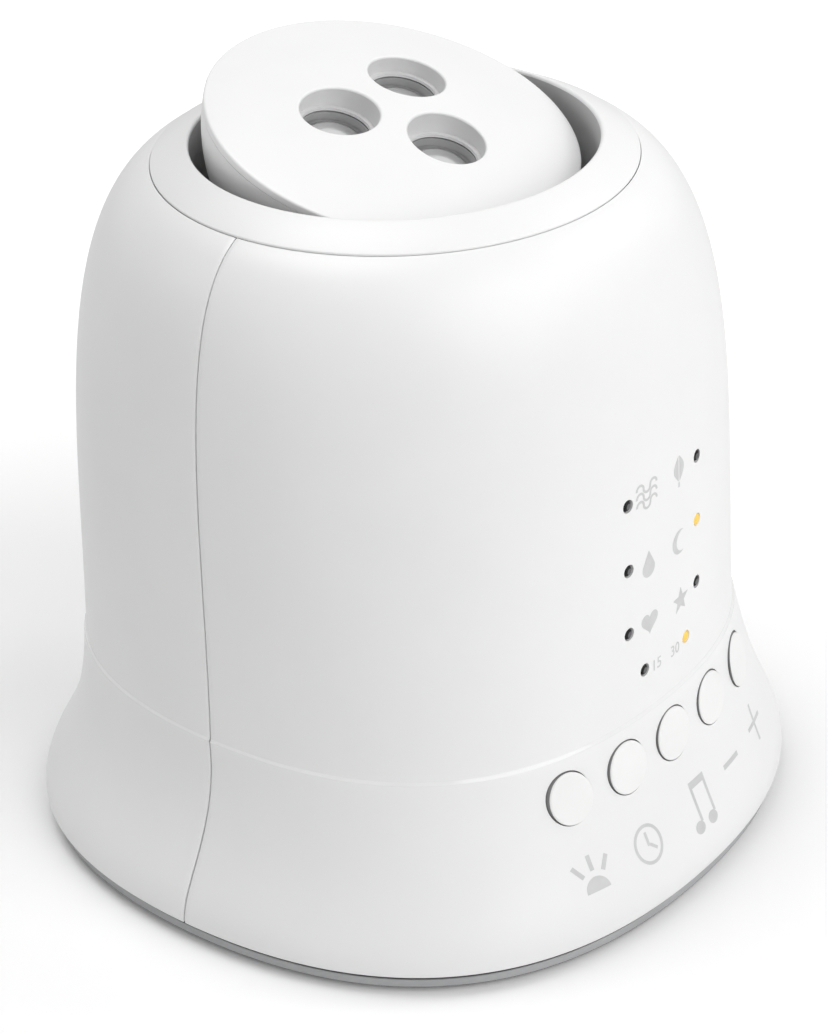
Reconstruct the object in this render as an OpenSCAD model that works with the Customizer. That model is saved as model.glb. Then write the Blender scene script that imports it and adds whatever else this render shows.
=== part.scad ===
// Bedside sound machine with a three-lamp night light in a tilting ball head.
// Two bell-shaped half shells meet at the sides, a collar closes them at the
// top and a base plate at the bottom. The ball head sits in a socket under the
// collar and tilts from front to back. Millimetres, +Z up, front towards -Y,
// origin on the table under the middle. Azimuths are turned from the front.

/* [Base] */
// Height of the rubber feet below the base plate
foot_h = 1.2; // [0.8:0.1:2.5]
// Diameter of a rubber foot
foot_d = 14; // [10:0.5:18]
// How far the base plate's edge is set in from the housing's lower edge
plate_inset = 1.2; // [0.7:0.1:3]
// Height of the base plate's visible edge
plate_h = 3.1; // [2.6:0.1:4]
// Thickness of the base plate's floor
plate_t = 2.2; // [1.6:0.1:2.5]

/* [Housing] */
// Mean radius of the flared lower edge
skirt_r = 76.2; // [75.8:0.1:80]
// Mean radius at the waist, where the flare meets the bell
waist_r = 64.6; // [62:0.1:67]
// Control radius that swells the shoulder
shoulder_r = 66.2; // [63:0.1:69]
// Radius of the round seam under the collar
neck_r = 46.4; // [45:0.1:48]
// Height of the waist above the lower edge
waist_rise = 37.1; // [35:0.1:40]
// Height of the neck above the lower edge
neck_rise = 135.4; // [130:0.1:145]
// How far the plan is squared, as a share of the radius
squareness = 0.0265; // [0:0.0005:0.035]
// How much further the plan is squared half-way up the flare
flare_square = 0.011; // [0:0.0005:0.015]
// How far the skirt swells towards the front
front_swell = 1.25; // [0:0.05:1.6]
// How far the lower edge is flattened in front and behind
edge_flat = 0.9; // [0:0.1:1.5]
// Ledge by which the skirt stands proud of the bell
ledge = 0.4; // [0:0.05:0.6]
// Wall thickness of the shells
wall = 2.4; // [2:0.1:2.8]
// Width of the tongue behind the side seams
tongue = 2; // [1:0.1:3]
// Width of the visible seams
seam = 0.3; // [0.2:0.05:0.5]

/* [Collar] */
// Height of the lip above the neck seam
lip_rise = 3.6; // [2:0.1:5]
// Rounding of the lip
lip_round = 1.5; // [0.5:0.1:2]
// Thickness of the collar's walls and of the cup's floor
collar_t = 2.4; // [2:0.1:3]

/* [Head] */
// Radius of the ball head at its rim
head_r = 36.2; // [34:0.1:37.5]
// Gap between the ball head and the collar's lip
head_gap = 2.6; // [1.5:0.1:3]
// Height of the head's centre above the lip
head_rise = 1.95; // [0:0.05:4]
// Tilt of the head at rest, front down
head_tilt = 16.5; // [0:0.5:25]
// Furthest tilt of the head either way
tilt_limit = 25; // [20:1:28]
// Crown of the head's face
crown = 4.5; // [2:0.1:6]
// Wall thickness of the head's bowl and cover
head_t = 2.2; // [1.8:0.1:2.6]
// Diameter of the lamp wells
well_d = 15.1; // [13:0.1:16.5]
// Radius of the circle that the lamp wells stand on
well_ring_r = 11.8; // [11.2:0.1:13]
// Depth of the cover's well walls
well_depth = 4.2; // [3:0.1:5]
// Clearance between the bowl and its socket
ball_fit = 0.3; // [0.2:0.05:0.5]
// Diameter of the tension bolt
bolt_d = 6; // [5:0.1:7]

/* [Buttons] */
// Diameter of a button
button_d = 10.6; // [8:0.1:12]
// Distance between neighbouring buttons
button_pitch = 14.8; // [13.6:0.1:15]
// Height of the button row above the lower edge
button_rise = 28.2; // [25:0.1:30]
// How far a button stands proud of the skirt
button_proud = 0.8; // [0.3:0.1:1.5]
// Travel of a button
button_travel = 0.8; // [0.3:0.1:1]
// Clearance round a button
button_fit = 0.4; // [0.15:0.05:0.5]

/* [Indicators] */
// Diameter of an indicator lamp
led_d = 2.5; // [2:0.1:3.5]
// Height of the lowest sound indicator above the lower edge
led_rise = 56; // [54:0.1:60]
// Height between the rows of sound indicators
led_pitch = 13.8; // [10:0.1:16]
// Half the distance between the two columns of sound indicators
led_x = 11.7; // [9:0.1:15]
// Drop from the lowest sound indicator to the timer indicators
timer_drop = 10.1; // [8:0.1:11]
// Half the distance between the two timer indicators
timer_x = 7.2; // [5:0.1:9]

/* [Sound] */
// Diameter of the speaker's cone opening
speaker_d = 48; // [40:0.5:50]
// Height of the speaker's axis above the lower edge
speaker_rise = 79; // [74:0.5:84]
// Diameter of a grille hole
grille_d = 2.6; // [1.5:0.1:3]
// Distance between neighbouring rings of grille holes
grille_pitch = 5.2; // [4:0.1:6]

/* [Boards] */
// Thickness of the circuit boards
board_t = 1.6; // [1:0.1:2]
// Distance of the control board behind the waist radius
board_setback = 24.6; // [23:0.1:30]
// Height of the main board's posts above the floor
post_h = 8; // [6:0.1:12]
// Width of the main board
main_w = 68; // [56:1:72]
// Length of the main board
main_l = 70; // [60:1:76]

/* [Hidden] */
$fn = 96;

// Heights
floor_z = foot_h + plate_t;
skirt_z = foot_h + plate_h + seam;
waist_z = skirt_z + waist_rise;
neck_z = skirt_z + neck_rise;
lip_z = neck_z + lip_rise;
head_z = lip_z + head_rise;

// Bell profile: two cubic curves, whose handles are these lengths
edge_handle = 8.7;
flare_handle = [1.24, -22.1];
bell_handle = [-2.24, 40.8];
shoulder_drop = 9.1;
ledge_h = 0.8;
skirt_steps = 9;
bell_steps = 13;
half_steps = 30;

function bezier(p, t) =
    p[0] * pow(1 - t, 3) + p[1] * 3 * t * pow(1 - t, 2)
    + p[2] * 3 * t * t * (1 - t) + p[3] * pow(t, 3);

skirt_top = [waist_r + ledge, waist_z - ledge_h];
skirt_foot = [skirt_r, skirt_z];
skirt_curve = [skirt_foot, skirt_foot + [0, edge_handle], skirt_top + flare_handle, skirt_top];
bell_foot = [waist_r, waist_z];
shoulder = [shoulder_r, neck_z - shoulder_drop];
bell_curve = [bell_foot, bell_foot + bell_handle, shoulder, [neck_r, neck_z]];

profile = concat(
    [for (i = [0:skirt_steps]) bezier(skirt_curve, i / skirt_steps)],
    [for (i = [0:bell_steps]) bezier(bell_curve, i / bell_steps)]
);
last = len(profile) - 1;

// Inner wall: the profile moved in by the wall, with level edges at both ends
function inward(i) =
    let (d = profile[i + 1] - profile[i - 1])
    profile[i] - wall * [d[1], -d[0]] / norm(d);
inner_profile = [for (i = [0:last])
    i == 0 || i == last ? profile[i] - [wall, 0] : inward(i)];

// Squared plan at the height z and the azimuth a, with a swell to the front and a flattened foot
function flare_share(z) = min(1, max(0, (z - skirt_z) / waist_rise));
function bell_share(z) = max(0, (z - waist_z) / (neck_z - waist_z));
function square_at(z) =
    squareness * (1 - pow(bell_share(z), 2)) + flare_square * sin(180 * pow(flare_share(z), 1.7));
function swell_at(z) = front_swell * sin(180 * flare_share(z));
function flat_at(z) = edge_flat * (1 - flare_share(z));
function plan(r, z, a) =
    r * (1 - square_at(z) * cos(4 * a)) + swell_at(z) * cos(a) - flat_at(z) * pow(cos(a), 2);

// Mean outer radius at a height, found by halving the curve's parameter
function curve_at(curve, z, low = 0, high = 1, n = 18) =
    let (mid = (low + high) / 2)
    n == 0 ? bezier(curve, mid)
    : bezier(curve, mid)[1] < z ? curve_at(curve, z, mid, high, n - 1)
    : curve_at(curve, z, low, mid, n - 1);
function r_at(z) = curve_at(z < waist_z ? skirt_curve : bell_curve, z)[0];

// Outer wall's y at a given x and z, in front (side -1) or at the rear (side 1)
function azimuth(x, r, side) = side < 0 ? asin(x / r) : 180 - asin(x / r);
function wall_y(x, z, side) =
    let (r = r_at(z),
         first = plan(r, z, azimuth(x, r, side)),
         second = plan(r, z, azimuth(x, first, side)))
    side * sqrt(second * second - x * x);

// Outward normal of the front wall
function front_point(x, z) = [x, wall_y(x, z, -1), z];
function front_normal(x, z) =
    let (across = front_point(x + 1, z) - front_point(x - 1, z),
         up = front_point(x, z + 1) - front_point(x, z - 1),
         n = cross(across, up))
    n / norm(n);

// Fasteners: radius of shank and head, height of head, clearance round a shank
screw_r = 1.3;
screw_head_r = 2.6;
screw_head_h = 1.8;
screw_fit = 0.02;
hole_fit = 0.3;

module screw(length, r = screw_r, head_r = screw_head_r, head_h = screw_head_h) {
    difference() {
        union() {
            cylinder(r = r, h = length);
            translate([0, 0, -head_h]) cylinder(r = head_r, h = head_h);
        }
        translate([0, 0, -head_h - 1]) cylinder(r = head_r * 0.55, h = 1.8, $fn = 6);
    }
}

// Turns that point a piece's own +Z to the front or to the rear
module to_front() { rotate([90, 0, 0]) children(); }
module to_rear() { rotate([-90, 0, 0]) children(); }

// Half shell: rings of a stepped C-shape, lofted up the bell
seam_turn = seam / 2 / waist_r * 180 / PI;
tongue_turn = tongue / waist_r * 180 / PI;
step_gap = 0.2;

function ring_point(i, a, k) =
    let (p = profile[i] * (1 - k) + inner_profile[i] * k, r = plan(p[0], profile[i][1], a))
    [r * sin(a), -r * cos(a), p[1]];

// Azimuths of a half shell's edges and of the even steps between the nearer edges
function shell_turns(middle, reach) =
    let (a = middle - 90 + seam_turn, b = middle + 90 - seam_turn,
         low = max(a, a - reach), high = min(b, b + reach))
    concat(
        [min(a, a - reach)],
        [for (j = [0:half_steps]) low + (high - low) * j / half_steps],
        [max(b, b + reach)]
    );

// The outer wall runs from turn number out_1 and the inner wall from in_1, with the step between
function ring(i, turns, out_1, in_1, k) =
    let (n = len(turns) - 1)
    concat(
        [for (j = [out_1:n - out_1]) ring_point(i, turns[j], 0)],
        [ring_point(i, turns[n - out_1], k), ring_point(i, turns[n - in_1], k)],
        [for (j = [n - in_1:-1:in_1]) ring_point(i, turns[j], 1)],
        [ring_point(i, turns[in_1], k), ring_point(i, turns[out_1], k)]
    );

module half_shell(middle, reach, k) {
    turns = shell_turns(middle, reach);
    n = len(turns) - 1;
    out_1 = reach > 0 ? 1 : 0;
    in_1 = 1 - out_1;
    count = 2 * n + 4;
    function out(j) = j - out_1;
    function inn(j) = 2 * n + 2 - out_1 - j;
    step = [n + 1 - 2 * out_1, n + 2 - 2 * out_1, count - 2, count - 1];
    edge = concat(
        [for (j = [2:n - 3]) [out(j), out(j + 1), inn(j + 1), inn(j)]],
        [[out(2), inn(2), inn(1), step[2 + out_1], out(1)]],
        [[out(n - 2), out(n - 1), step[in_1], inn(n - 1), inn(n - 2)]],
        reach > 0 ? [[step[0], step[1], inn(n), inn(n - 1)], [inn(1), inn(0), step[2], step[3]]]
        : [[out(n - 1), out(n), step[0], step[1]], [step[2], step[3], out(0), out(1)]]
    );
    polyhedron(
        points = [for (i = [0:last]) each ring(i, turns, out_1, in_1, k)],
        faces = concat(
            edge,
            [for (f = edge) [for (q = [0:len(f) - 1]) last * count + f[(len(f) - q) % len(f)]]],
            [for (i = [0:last - 1], j = [0:count - 1])
                let (a = i * count, b = a + count, next = (j + 1) % count)
                each [[a + j, b + j, b + next], [a + j, b + next, a + next]]]
        ),
        convexity = 6
    );
}

// Screw bosses that hold the shells to the base plate, each on a web to the wall
boss_inset = 16.2;
boss_r = 4;
boss_h = 18;
boss_ring_r = skirt_r - boss_inset;
web_t = 2;
web_steps = 6;
base_screw_l = 14;
plate_spigot_h = 2.4;
web_low = skirt_z + plate_spigot_h + 0.6;
web_high = skirt_z + boss_h - 1;

module shell_boss(a) {
    web_z = [for (i = [0:web_steps]) web_low + (web_high - web_low) * i / web_steps];
    rotate([0, 0, a - 90]) difference() {
        union() {
            translate([boss_ring_r, 0, floor_z]) cylinder(r = boss_r, h = boss_h);
            rotate([90, 0, 0]) linear_extrude(web_t, center = true) polygon(concat(
                [[boss_ring_r, web_z[0]]],
                [for (z = web_z) [plan(r_at(z), z, a) - wall / 2, z]],
                [[boss_ring_r, web_z[web_steps]]]
            ));
        }
        translate([boss_ring_r, 0, floor_z - 1])
            cylinder(r = screw_r + screw_fit, h = base_screw_l);
    }
}

// Control board behind the front wall, carried on four posts of the shell
board_y = board_setback - waist_r;
board_low_margin = 14.2;
board_high_margin = 8;
board_side_margin = 6;
board_low_z = skirt_z + button_rise - board_low_margin;
board_high_z = skirt_z + led_rise + 2 * led_pitch + board_high_margin;
board_half_w = 2 * button_pitch + board_side_margin;
control_post_r = 3.4;
control_screw_l = 7;
control_screw_x = board_half_w - 6.5;
control_screw_z = [skirt_z + led_rise - 6, board_high_z - 6];

module control_posts() {
    for (x = [-control_screw_x, control_screw_x], z = control_screw_z)
        difference() {
            intersection() {
                translate([x, board_y, z]) to_front() cylinder(r = control_post_r, h = waist_r);
                cylinder(r = plan(r_at(z), z, asin(x / waist_r)) - wall / 2, h = neck_z);
            }
            translate([x, board_y + 1, z]) to_front()
                cylinder(r = screw_r + screw_fit, h = control_screw_l);
        }
}

// Button and indicator places: x and z, and for an indicator whether it is lit
button_z = skirt_z + button_rise;
button_x = [for (i = [-2:2]) i * button_pitch];

// A button is an oval along its push, so that it looks round on the curved flare
module oval(x, r, h) {
    linear_extrude(h) scale([cos(asin(x / waist_r)), 1]) circle(r = r);
}

led_z = skirt_z + led_rise;
led_places = concat(
    [for (row = [0:2], side = [-1, 1]) [side * led_x, led_z + row * led_pitch, row == 1 && side == 1]],
    [for (side = [-1, 1]) [side * timer_x, led_z - timer_drop, side == 1]]
);

module front_shell() {
    color("white") difference() {
        union() {
            half_shell(0, -tongue_turn - seam_turn, 0.5 - step_gap / 2 / wall);
            for (a = [-45, 45]) shell_boss(a);
            control_posts();
        }
        for (x = button_x)
            translate([x, board_y - 5, button_z]) to_front()
                oval(x, button_d / 2 + button_fit, skirt_r);
        for (p = led_places)
            translate([p[0], board_y - 5, p[1]]) to_front() cylinder(d = led_d + 0.2, h = skirt_r);
    }
}

// Speaker seat inside the rear wall: a ring and four posts, up to a flat plane
speaker_z = skirt_z + speaker_rise;
gasket_t = 1;
ring_t = 2;
frame_half_w = speaker_d / 2 + 4;
speaker_screw_x = frame_half_w - 4.5;
speaker_post_r = 3.2;
speaker_screw_l = 5;
seat_depth = 3.5;
seat_y = wall_y(speaker_screw_x, speaker_z + speaker_screw_x, 1) - wall - seat_depth;
grille_rings = 3;

// Core of the bell that keeps the seat within the rear wall
module rear_core() {
    rotate_extrude() polygon(concat(
        [[0, waist_z]],
        [for (i = [skirt_steps + 1:last])
            let (z = profile[i][1]) [plan(profile[i][0], z, 180) - wall / 3, z]],
        [[0, neck_z]]
    ));
}

module speaker_seat() {
    intersection() {
        translate([0, seat_y, speaker_z]) to_rear() {
            difference() {
                cylinder(d = speaker_d + 2 * ring_t, h = waist_r);
                translate([0, 0, -1]) cylinder(d = speaker_d, h = waist_r + 2);
            }
            for (x = [-speaker_screw_x, speaker_screw_x], y = [-speaker_screw_x, speaker_screw_x])
                translate([x, y, -gasket_t]) difference() {
                    cylinder(r = speaker_post_r, h = waist_r);
                    translate([0, 0, -1]) cylinder(r = screw_r + screw_fit, h = speaker_screw_l);
                }
        }
        rear_core();
    }
}

module grille_holes() {
    for (ring = [0:grille_rings], i = [0:max(0, 6 * ring - 1)])
        rotate([0, 0, ring == 0 ? 0 : i * 60 / ring])
            translate([ring * grille_pitch, 0, 0]) cylinder(d = grille_d, h = waist_r);
}

// Main board and the power jack on its rear edge
main_z = floor_z + post_h;
main_top_z = main_z + board_t;
jack_w = 9;
jack_h = 11;
jack_l = 12;
jack_axis_h = 6.4;
jack_nose_r = 4;
jack_bore_r = 3.15;
jack_bore_l = 9.5;
jack_pin_r = 1;
jack_fit = 0.4;
jack_z = main_top_z + jack_axis_h;
jack_face_y = wall_y(0, jack_z, 1) - 1.2;
nose_l = 6;
main_back_y = jack_face_y - nose_l - 2;
main_y = main_back_y - main_l / 2;

module rear_shell() {
    color("white") difference() {
        union() {
            half_shell(180, tongue_turn, 0.5 + step_gap / 2 / wall);
            for (a = [135, 225]) shell_boss(a);
            speaker_seat();
        }
        translate([0, seat_y, speaker_z]) to_rear() grille_holes();
        translate([0, jack_face_y - nose_l / 2, jack_z]) to_rear()
            cylinder(r = jack_nose_r + jack_fit, h = nose_l * 2);
    }
}

// Collar: a sloping ring with a rounded lip, a cup wall and a floor with a hole
lip_r = head_r + head_gap;
cup_depth = 25;
cup_floor_z = head_z - cup_depth;
cup_floor_t = collar_t + 1.2;
socket_hole_r = 29;
spigot_h = 4;
spigot_fit = 0.15;
lip_steps = 6;
collar_edge_h = 0.4;
slope = atan((lip_rise - collar_edge_h) / (neck_r - lip_r));
socket_screw_n = 4;
socket_screw_ring_r = 33.5;
socket_screw_l = 5;

module top_collar() {
    outer_r = lip_r + collar_t;
    color("white") difference() {
        rotate_extrude() polygon(concat(
            [[neck_r - seam / 2, neck_z], [neck_r - seam / 2, neck_z + collar_edge_h]],
            [for (i = [0:lip_steps])
                let (a = 90 - slope + (90 + slope) * i / lip_steps)
                [lip_r + lip_round, lip_z - lip_round] + lip_round * [cos(a), sin(a)]],
            [[lip_r, cup_floor_z], [socket_hole_r, cup_floor_z]],
            [[socket_hole_r, cup_floor_z - cup_floor_t], [outer_r, cup_floor_z - cup_floor_t]],
            [[outer_r, neck_z - spigot_h], [neck_r - wall - spigot_fit, neck_z - spigot_h]],
            [[neck_r - wall - spigot_fit, neck_z]]
        ));
        for (i = [0:socket_screw_n - 1]) rotate([0, 0, 45 + i * 360 / socket_screw_n])
            translate([socket_screw_ring_r, 0, cup_floor_z - cup_floor_t - 1])
                cylinder(r = screw_r + screw_fit, h = cup_floor_t);
    }
}

// Base plate: a squared disc with a rim, a spigot inside the shells, and posts
plate_r = skirt_r - plate_inset;
foot_inset = 24;
foot_ring_r = plate_r - foot_inset;
foot_sink = 0.8;
spigot_t = 1.8;
plate_spigot_gap = 1.2;
plate_spigot_r = skirt_r - wall - plate_spigot_gap;
base_azimuths = [45, 135, 225, 315];
main_screw_x = main_w / 2 - 5;
main_screw_y = main_l / 2 - 5;
main_post_r = 3.2;
main_screw_l = 6;
outline_steps = 96;

module outline(r) {
    polygon([for (i = [0:outline_steps - 1])
        let (a = i * 360 / outline_steps, s = plan(r, skirt_z, a))
        [s * sin(a), -s * cos(a)]]);
}

module main_posts() {
    for (x = [-main_screw_x, main_screw_x], y = [-main_screw_y, main_screw_y])
        translate([x, main_y + y, foot_h + plate_t / 2])
            cylinder(r = main_post_r, h = post_h + plate_t / 2);
}

module base_plate() {
    color("gray") difference() {
        union() {
            translate([0, 0, foot_h]) linear_extrude(plate_t) outline(plate_r);
            translate([0, 0, foot_h]) linear_extrude(plate_h) difference() {
                outline(plate_r);
                outline(plate_spigot_r - spigot_t);
            }
            translate([0, 0, foot_h]) linear_extrude(plate_h + seam + plate_spigot_h) difference() {
                outline(plate_spigot_r);
                outline(plate_spigot_r - spigot_t);
            }
            main_posts();
        }
        for (a = base_azimuths) rotate([0, 0, a]) {
            translate([boss_ring_r, 0, foot_h - 1]) {
                cylinder(r = screw_r + hole_fit, h = plate_t + 2);
                cylinder(r = screw_head_r + hole_fit, h = 1 + plate_t / 2);
            }
            rotate([0, 0, 45]) translate([foot_ring_r, 0, foot_h - 1])
                cylinder(d = foot_d, h = 1 + foot_sink);
        }
        for (x = [-main_screw_x, main_screw_x], y = [-main_screw_y, main_screw_y])
            translate([x, main_y + y, main_z - main_screw_l])
                cylinder(r = screw_r + screw_fit, h = post_h);
    }
}

module foot_pads() {
    pad_h = foot_h + foot_sink;
    color("dimgray") for (a = base_azimuths) rotate([0, 0, a + 45]) translate([foot_ring_r, 0, 0])
        difference() {
            cylinder(d1 = foot_d - 1.6, d2 = foot_d, h = pad_h);
            translate([0, 0, -1]) cylinder(d = foot_d - 6, h = 1 + foot_h / 4);
        }
}

module base_screws() {
    color("silver") for (a = base_azimuths) rotate([0, 0, a])
        translate([boss_ring_r, 0, foot_h + plate_t / 2])
            screw(base_screw_l - 2, head_h = plate_t / 2 - 0.1);
}

// Socket: a dish with a spherical seat under the cup, and a hub for the bolt
seat_r = head_r + ball_fit;
socket_t = 2.4;
socket_edge_turn = 46;
hub_r = 9;
hub_depth = seat_r + 8;
bolt_fit = 0.1;
flange_r = lip_r - 1.5;
flange_t = 2.4;
arc_steps = 14;
socket_top_z = cup_floor_z - cup_floor_t;

function seat_point(r, a) = [r * sin(a), head_z - r * cos(a)];

module head_socket() {
    back_r = seat_r + socket_t;
    bolt_turn = asin((bolt_d / 2 + bolt_fit) / seat_r);
    hub_turn = asin(hub_r / back_r);
    flange_low = head_z - socket_top_z + flange_t;
    flange_hole_r = sqrt(back_r * back_r - flange_low * flange_low) - 0.6;
    color("darkgray") difference() {
        union() {
            rotate_extrude() polygon(concat(
                [for (i = [0:arc_steps])
                    seat_point(seat_r, bolt_turn + (socket_edge_turn - bolt_turn) * i / arc_steps)],
                [for (i = [0:arc_steps])
                    seat_point(back_r, socket_edge_turn + (hub_turn - socket_edge_turn) * i / arc_steps)],
                [[hub_r, head_z - hub_depth], [bolt_d / 2 + bolt_fit, head_z - hub_depth]]
            ));
            translate([0, 0, head_z - flange_low]) difference() {
                cylinder(r = flange_r, h = flange_t);
                translate([0, 0, -1]) cylinder(r = flange_hole_r, h = flange_t + 2);
            }
        }
        for (i = [0:socket_screw_n - 1]) rotate([0, 0, 45 + i * 360 / socket_screw_n])
            translate([socket_screw_ring_r, 0, socket_top_z - flange_t - 1])
                cylinder(r = screw_r + hole_fit, h = flange_t + 2);
    }
}

module socket_screws() {
    color("silver") for (i = [0:socket_screw_n - 1]) rotate([0, 0, 45 + i * 360 / socket_screw_n])
        translate([socket_screw_ring_r, 0, socket_top_z - flange_t]) screw(socket_screw_l);
}

// Tension stack on the bolt inside the bowl: shoe, two disc springs and a nut
bowl_inner_r = head_r - head_t;
shoe_r = 10;
shoe_h = 5;
spring_t = 0.8;
spring_cone = 1.4;
spring_r = 8;
nut_r = 5.6;
nut_h = 4;
bolt_head_h = 4;
shoe_top_z = head_z - bowl_inner_r + ball_fit + shoe_h;
nut_z = shoe_top_z + 2 * (spring_t + spring_cone);
bolt_top_z = nut_z + nut_h + 1;

module tension_bolt() {
    low_z = head_z - hub_depth;
    color("silver") {
        translate([0, 0, low_z - bolt_head_h]) cylinder(r = nut_r, h = bolt_head_h, $fn = 6);
        translate([0, 0, low_z - bolt_head_h / 2])
            cylinder(d = bolt_d, h = bolt_top_z - low_z + bolt_head_h / 2);
    }
}

module clamp_shoe() {
    low_r = bowl_inner_r - ball_fit;
    hole_r = bolt_d / 2 + bolt_fit;
    from = asin(hole_r / low_r);
    to = asin(shoe_r / low_r);
    color("ivory") rotate_extrude() polygon(concat(
        [for (i = [0:arc_steps]) seat_point(low_r, from + (to - from) * i / arc_steps)],
        [[shoe_r, shoe_top_z], [hole_r, shoe_top_z]]
    ));
}

module disc_spring() {
    hole_r = bolt_d / 2 + bolt_fit;
    rotate_extrude() polygon([
        [spring_r, 0], [spring_r, spring_t], [hole_r, spring_t + spring_cone], [hole_r, spring_cone]
    ]);
}

module disc_springs() {
    color("silver") translate([0, 0, shoe_top_z]) {
        disc_spring();
        translate([0, 0, 2 * (spring_t + spring_cone)]) mirror([0, 0, 1]) disc_spring();
    }
}

module tension_nut() {
    color("silver") translate([0, 0, nut_z]) difference() {
        cylinder(r = nut_r, h = nut_h, $fn = 6);
        translate([0, 0, -1]) cylinder(r = bolt_d / 2 + screw_fit, h = nut_h + 2);
    }
}

// Head: everything below is drawn about the ball's centre, then tilted
module in_head() {
    translate([0, 0, head_z]) rotate([head_tilt, 0, 0]) children();
}

crown_r = (head_r * head_r + crown * crown) / (2 * crown);
edge_h = 1.4;
cover_spigot_h = 3;
cover_fit = 0.15;
well_azimuths = [0, 120, 240];
lamp_wall = 1.4;
well_floor = crown_at(well_ring_r) - well_depth;
well_lip_w = 0.8;
well_lip_t = 0.6;

function crown_at(r) = sqrt(crown_r * crown_r - r * r) - crown_r + crown;

module at_wells(turn = 0) {
    for (a = well_azimuths) rotate([0, 0, a - 90 + turn]) translate([well_ring_r, 0, 0]) children();
}

// Lamp board hangs on three posts of the cover, between the wells
lamp_board_top = well_floor - 9.2;
lamp_board_r = well_ring_r + well_d / 2 + 4;
lamp_post_ring_r = lamp_board_r - 4;
lamp_post_r = 3;
lamp_screw_l = 6;

module at_lamp_posts() {
    for (a = well_azimuths) rotate([0, 0, a + 90]) translate([lamp_post_ring_r, 0, 0]) children();
}

module head_cover() {
    spigot_out = sqrt(bowl_inner_r * bowl_inner_r - pow(edge_h + cover_spigot_h, 2)) - cover_fit;
    spigot_in = spigot_out - head_t;
    color("white") in_head() difference() {
        union() {
            rotate_extrude() polygon(concat(
                [for (i = [0:arc_steps]) let (r = head_r * i / arc_steps) [r, crown_at(r)]],
                [[sqrt(head_r * head_r - edge_h * edge_h), -edge_h], [spigot_out, -edge_h]],
                [[spigot_out, -edge_h - cover_spigot_h], [spigot_in, -edge_h - cover_spigot_h]],
                [for (i = [arc_steps:-1:0]) let (r = spigot_in * i / arc_steps) [r, crown_at(r) - head_t]]
            ));
            at_wells() translate([0, 0, well_floor - well_lip_t])
                cylinder(d = well_d + 2 * lamp_wall, h = well_lip_t + well_depth - head_t / 2);
            at_lamp_posts() translate([0, 0, lamp_board_top])
                cylinder(r = lamp_post_r, h = crown_at(lamp_post_ring_r) - head_t / 2 - lamp_board_top);
        }
        at_wells() translate([0, 0, well_floor]) {
            cylinder(d = well_d, h = crown + well_depth);
            translate([0, 0, -well_lip_t - 1]) cylinder(d = well_d - 2 * well_lip_w, h = well_lip_t + 2);
        }
        at_lamp_posts() translate([0, 0, lamp_board_top - 1])
            cylinder(r = screw_r + screw_fit, h = lamp_screw_l);
    }
}

// Bowl: a half ball with a slot at the bottom that lets it swing past the bolt
slot_w = bolt_d + 1;
slot_turn = tilt_limit + asin(bolt_d / 2 / bowl_inner_r) + 2;

module head_bowl() {
    rim_turn = acos((edge_h + seam / 3) / head_r);
    inner_turn = acos((edge_h + seam / 3) / bowl_inner_r);
    far = 2 * head_r;
    color("white") in_head() difference() {
        rotate_extrude() polygon(concat(
            [for (i = [0:2 * arc_steps])
                let (a = rim_turn * i / (2 * arc_steps)) head_r * [sin(a), -cos(a)]],
            [for (i = [2 * arc_steps:-1:0])
                let (a = inner_turn * i / (2 * arc_steps)) bowl_inner_r * [sin(a), -cos(a)]]
        ));
        rotate([90, 0, 90]) linear_extrude(slot_w, center = true) polygon([
            [0, 0],
            far * [sin(slot_turn), -cos(slot_turn)],
            far * [-sin(slot_turn), -cos(slot_turn)]
        ]);
    }
}

module lamp_board() {
    color("darkgreen") in_head() translate([0, 0, lamp_board_top - board_t]) difference() {
        cylinder(r = lamp_board_r, h = board_t);
        at_lamp_posts() translate([0, 0, -1]) cylinder(r = screw_r + hole_fit, h = board_t + 2);
    }
}

led_base_w = 5;
led_base_h = 2;
led_dome_r = 1.9;

module lamp_leds() {
    color("lightyellow") in_head() at_wells() translate([0, 0, lamp_board_top]) {
        translate([-led_base_w / 2, -led_base_w / 2, 0]) cube([led_base_w, led_base_w, led_base_h]);
        translate([0, 0, led_base_h]) intersection() {
            sphere(r = led_dome_r);
            cylinder(r = led_dome_r, h = led_dome_r);
        }
    }
}

// Lamp holder: a tube on the lamp board under each well, with a seat for the lens
holder_gap = 0.3;
holder_bore_r = well_d / 2 - well_lip_w;
holder_low_r = 3.8;
lens_drop = 0.4;
lens_dome_h = 2.2;
lens_edge_t = 0.8;
lens_ledge = 0.8;
lens_fit = 0.05;
lens_r = holder_bore_r - lens_fit;
lens_dome_r = (lens_r * lens_r + lens_dome_h * lens_dome_h) / (2 * lens_dome_h);
lens_top = well_floor - lens_drop;
lens_seat = lens_top - lens_dome_h - lens_edge_t;

module lamp_holders() {
    low = lamp_board_top + led_base_h;
    top = well_floor - well_lip_t - holder_gap;
    color("silver") in_head() at_wells() difference() {
        translate([0, 0, lamp_board_top])
            cylinder(r = well_d / 2 + lamp_wall, h = top - lamp_board_top);
        translate([0, 0, lens_seat]) cylinder(r = holder_bore_r, h = well_depth);
        translate([0, 0, low])
            cylinder(r1 = holder_low_r, r2 = holder_bore_r - lens_ledge, h = lens_seat - low + 0.01);
        translate([0, 0, lamp_board_top - 1]) cylinder(r = holder_low_r, h = led_base_h + 1.01);
    }
}

module lamp_lenses() {
    color("gainsboro") in_head() at_wells() intersection() {
        translate([0, 0, lens_seat]) cylinder(r = lens_r, h = lens_edge_t + lens_dome_h);
        translate([0, 0, lens_top - lens_dome_r]) sphere(r = lens_dome_r);
    }
}

module head_screws() {
    color("silver") in_head() at_lamp_posts()
        translate([0, 0, lamp_board_top - board_t]) screw(lamp_screw_l);
}

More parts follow.
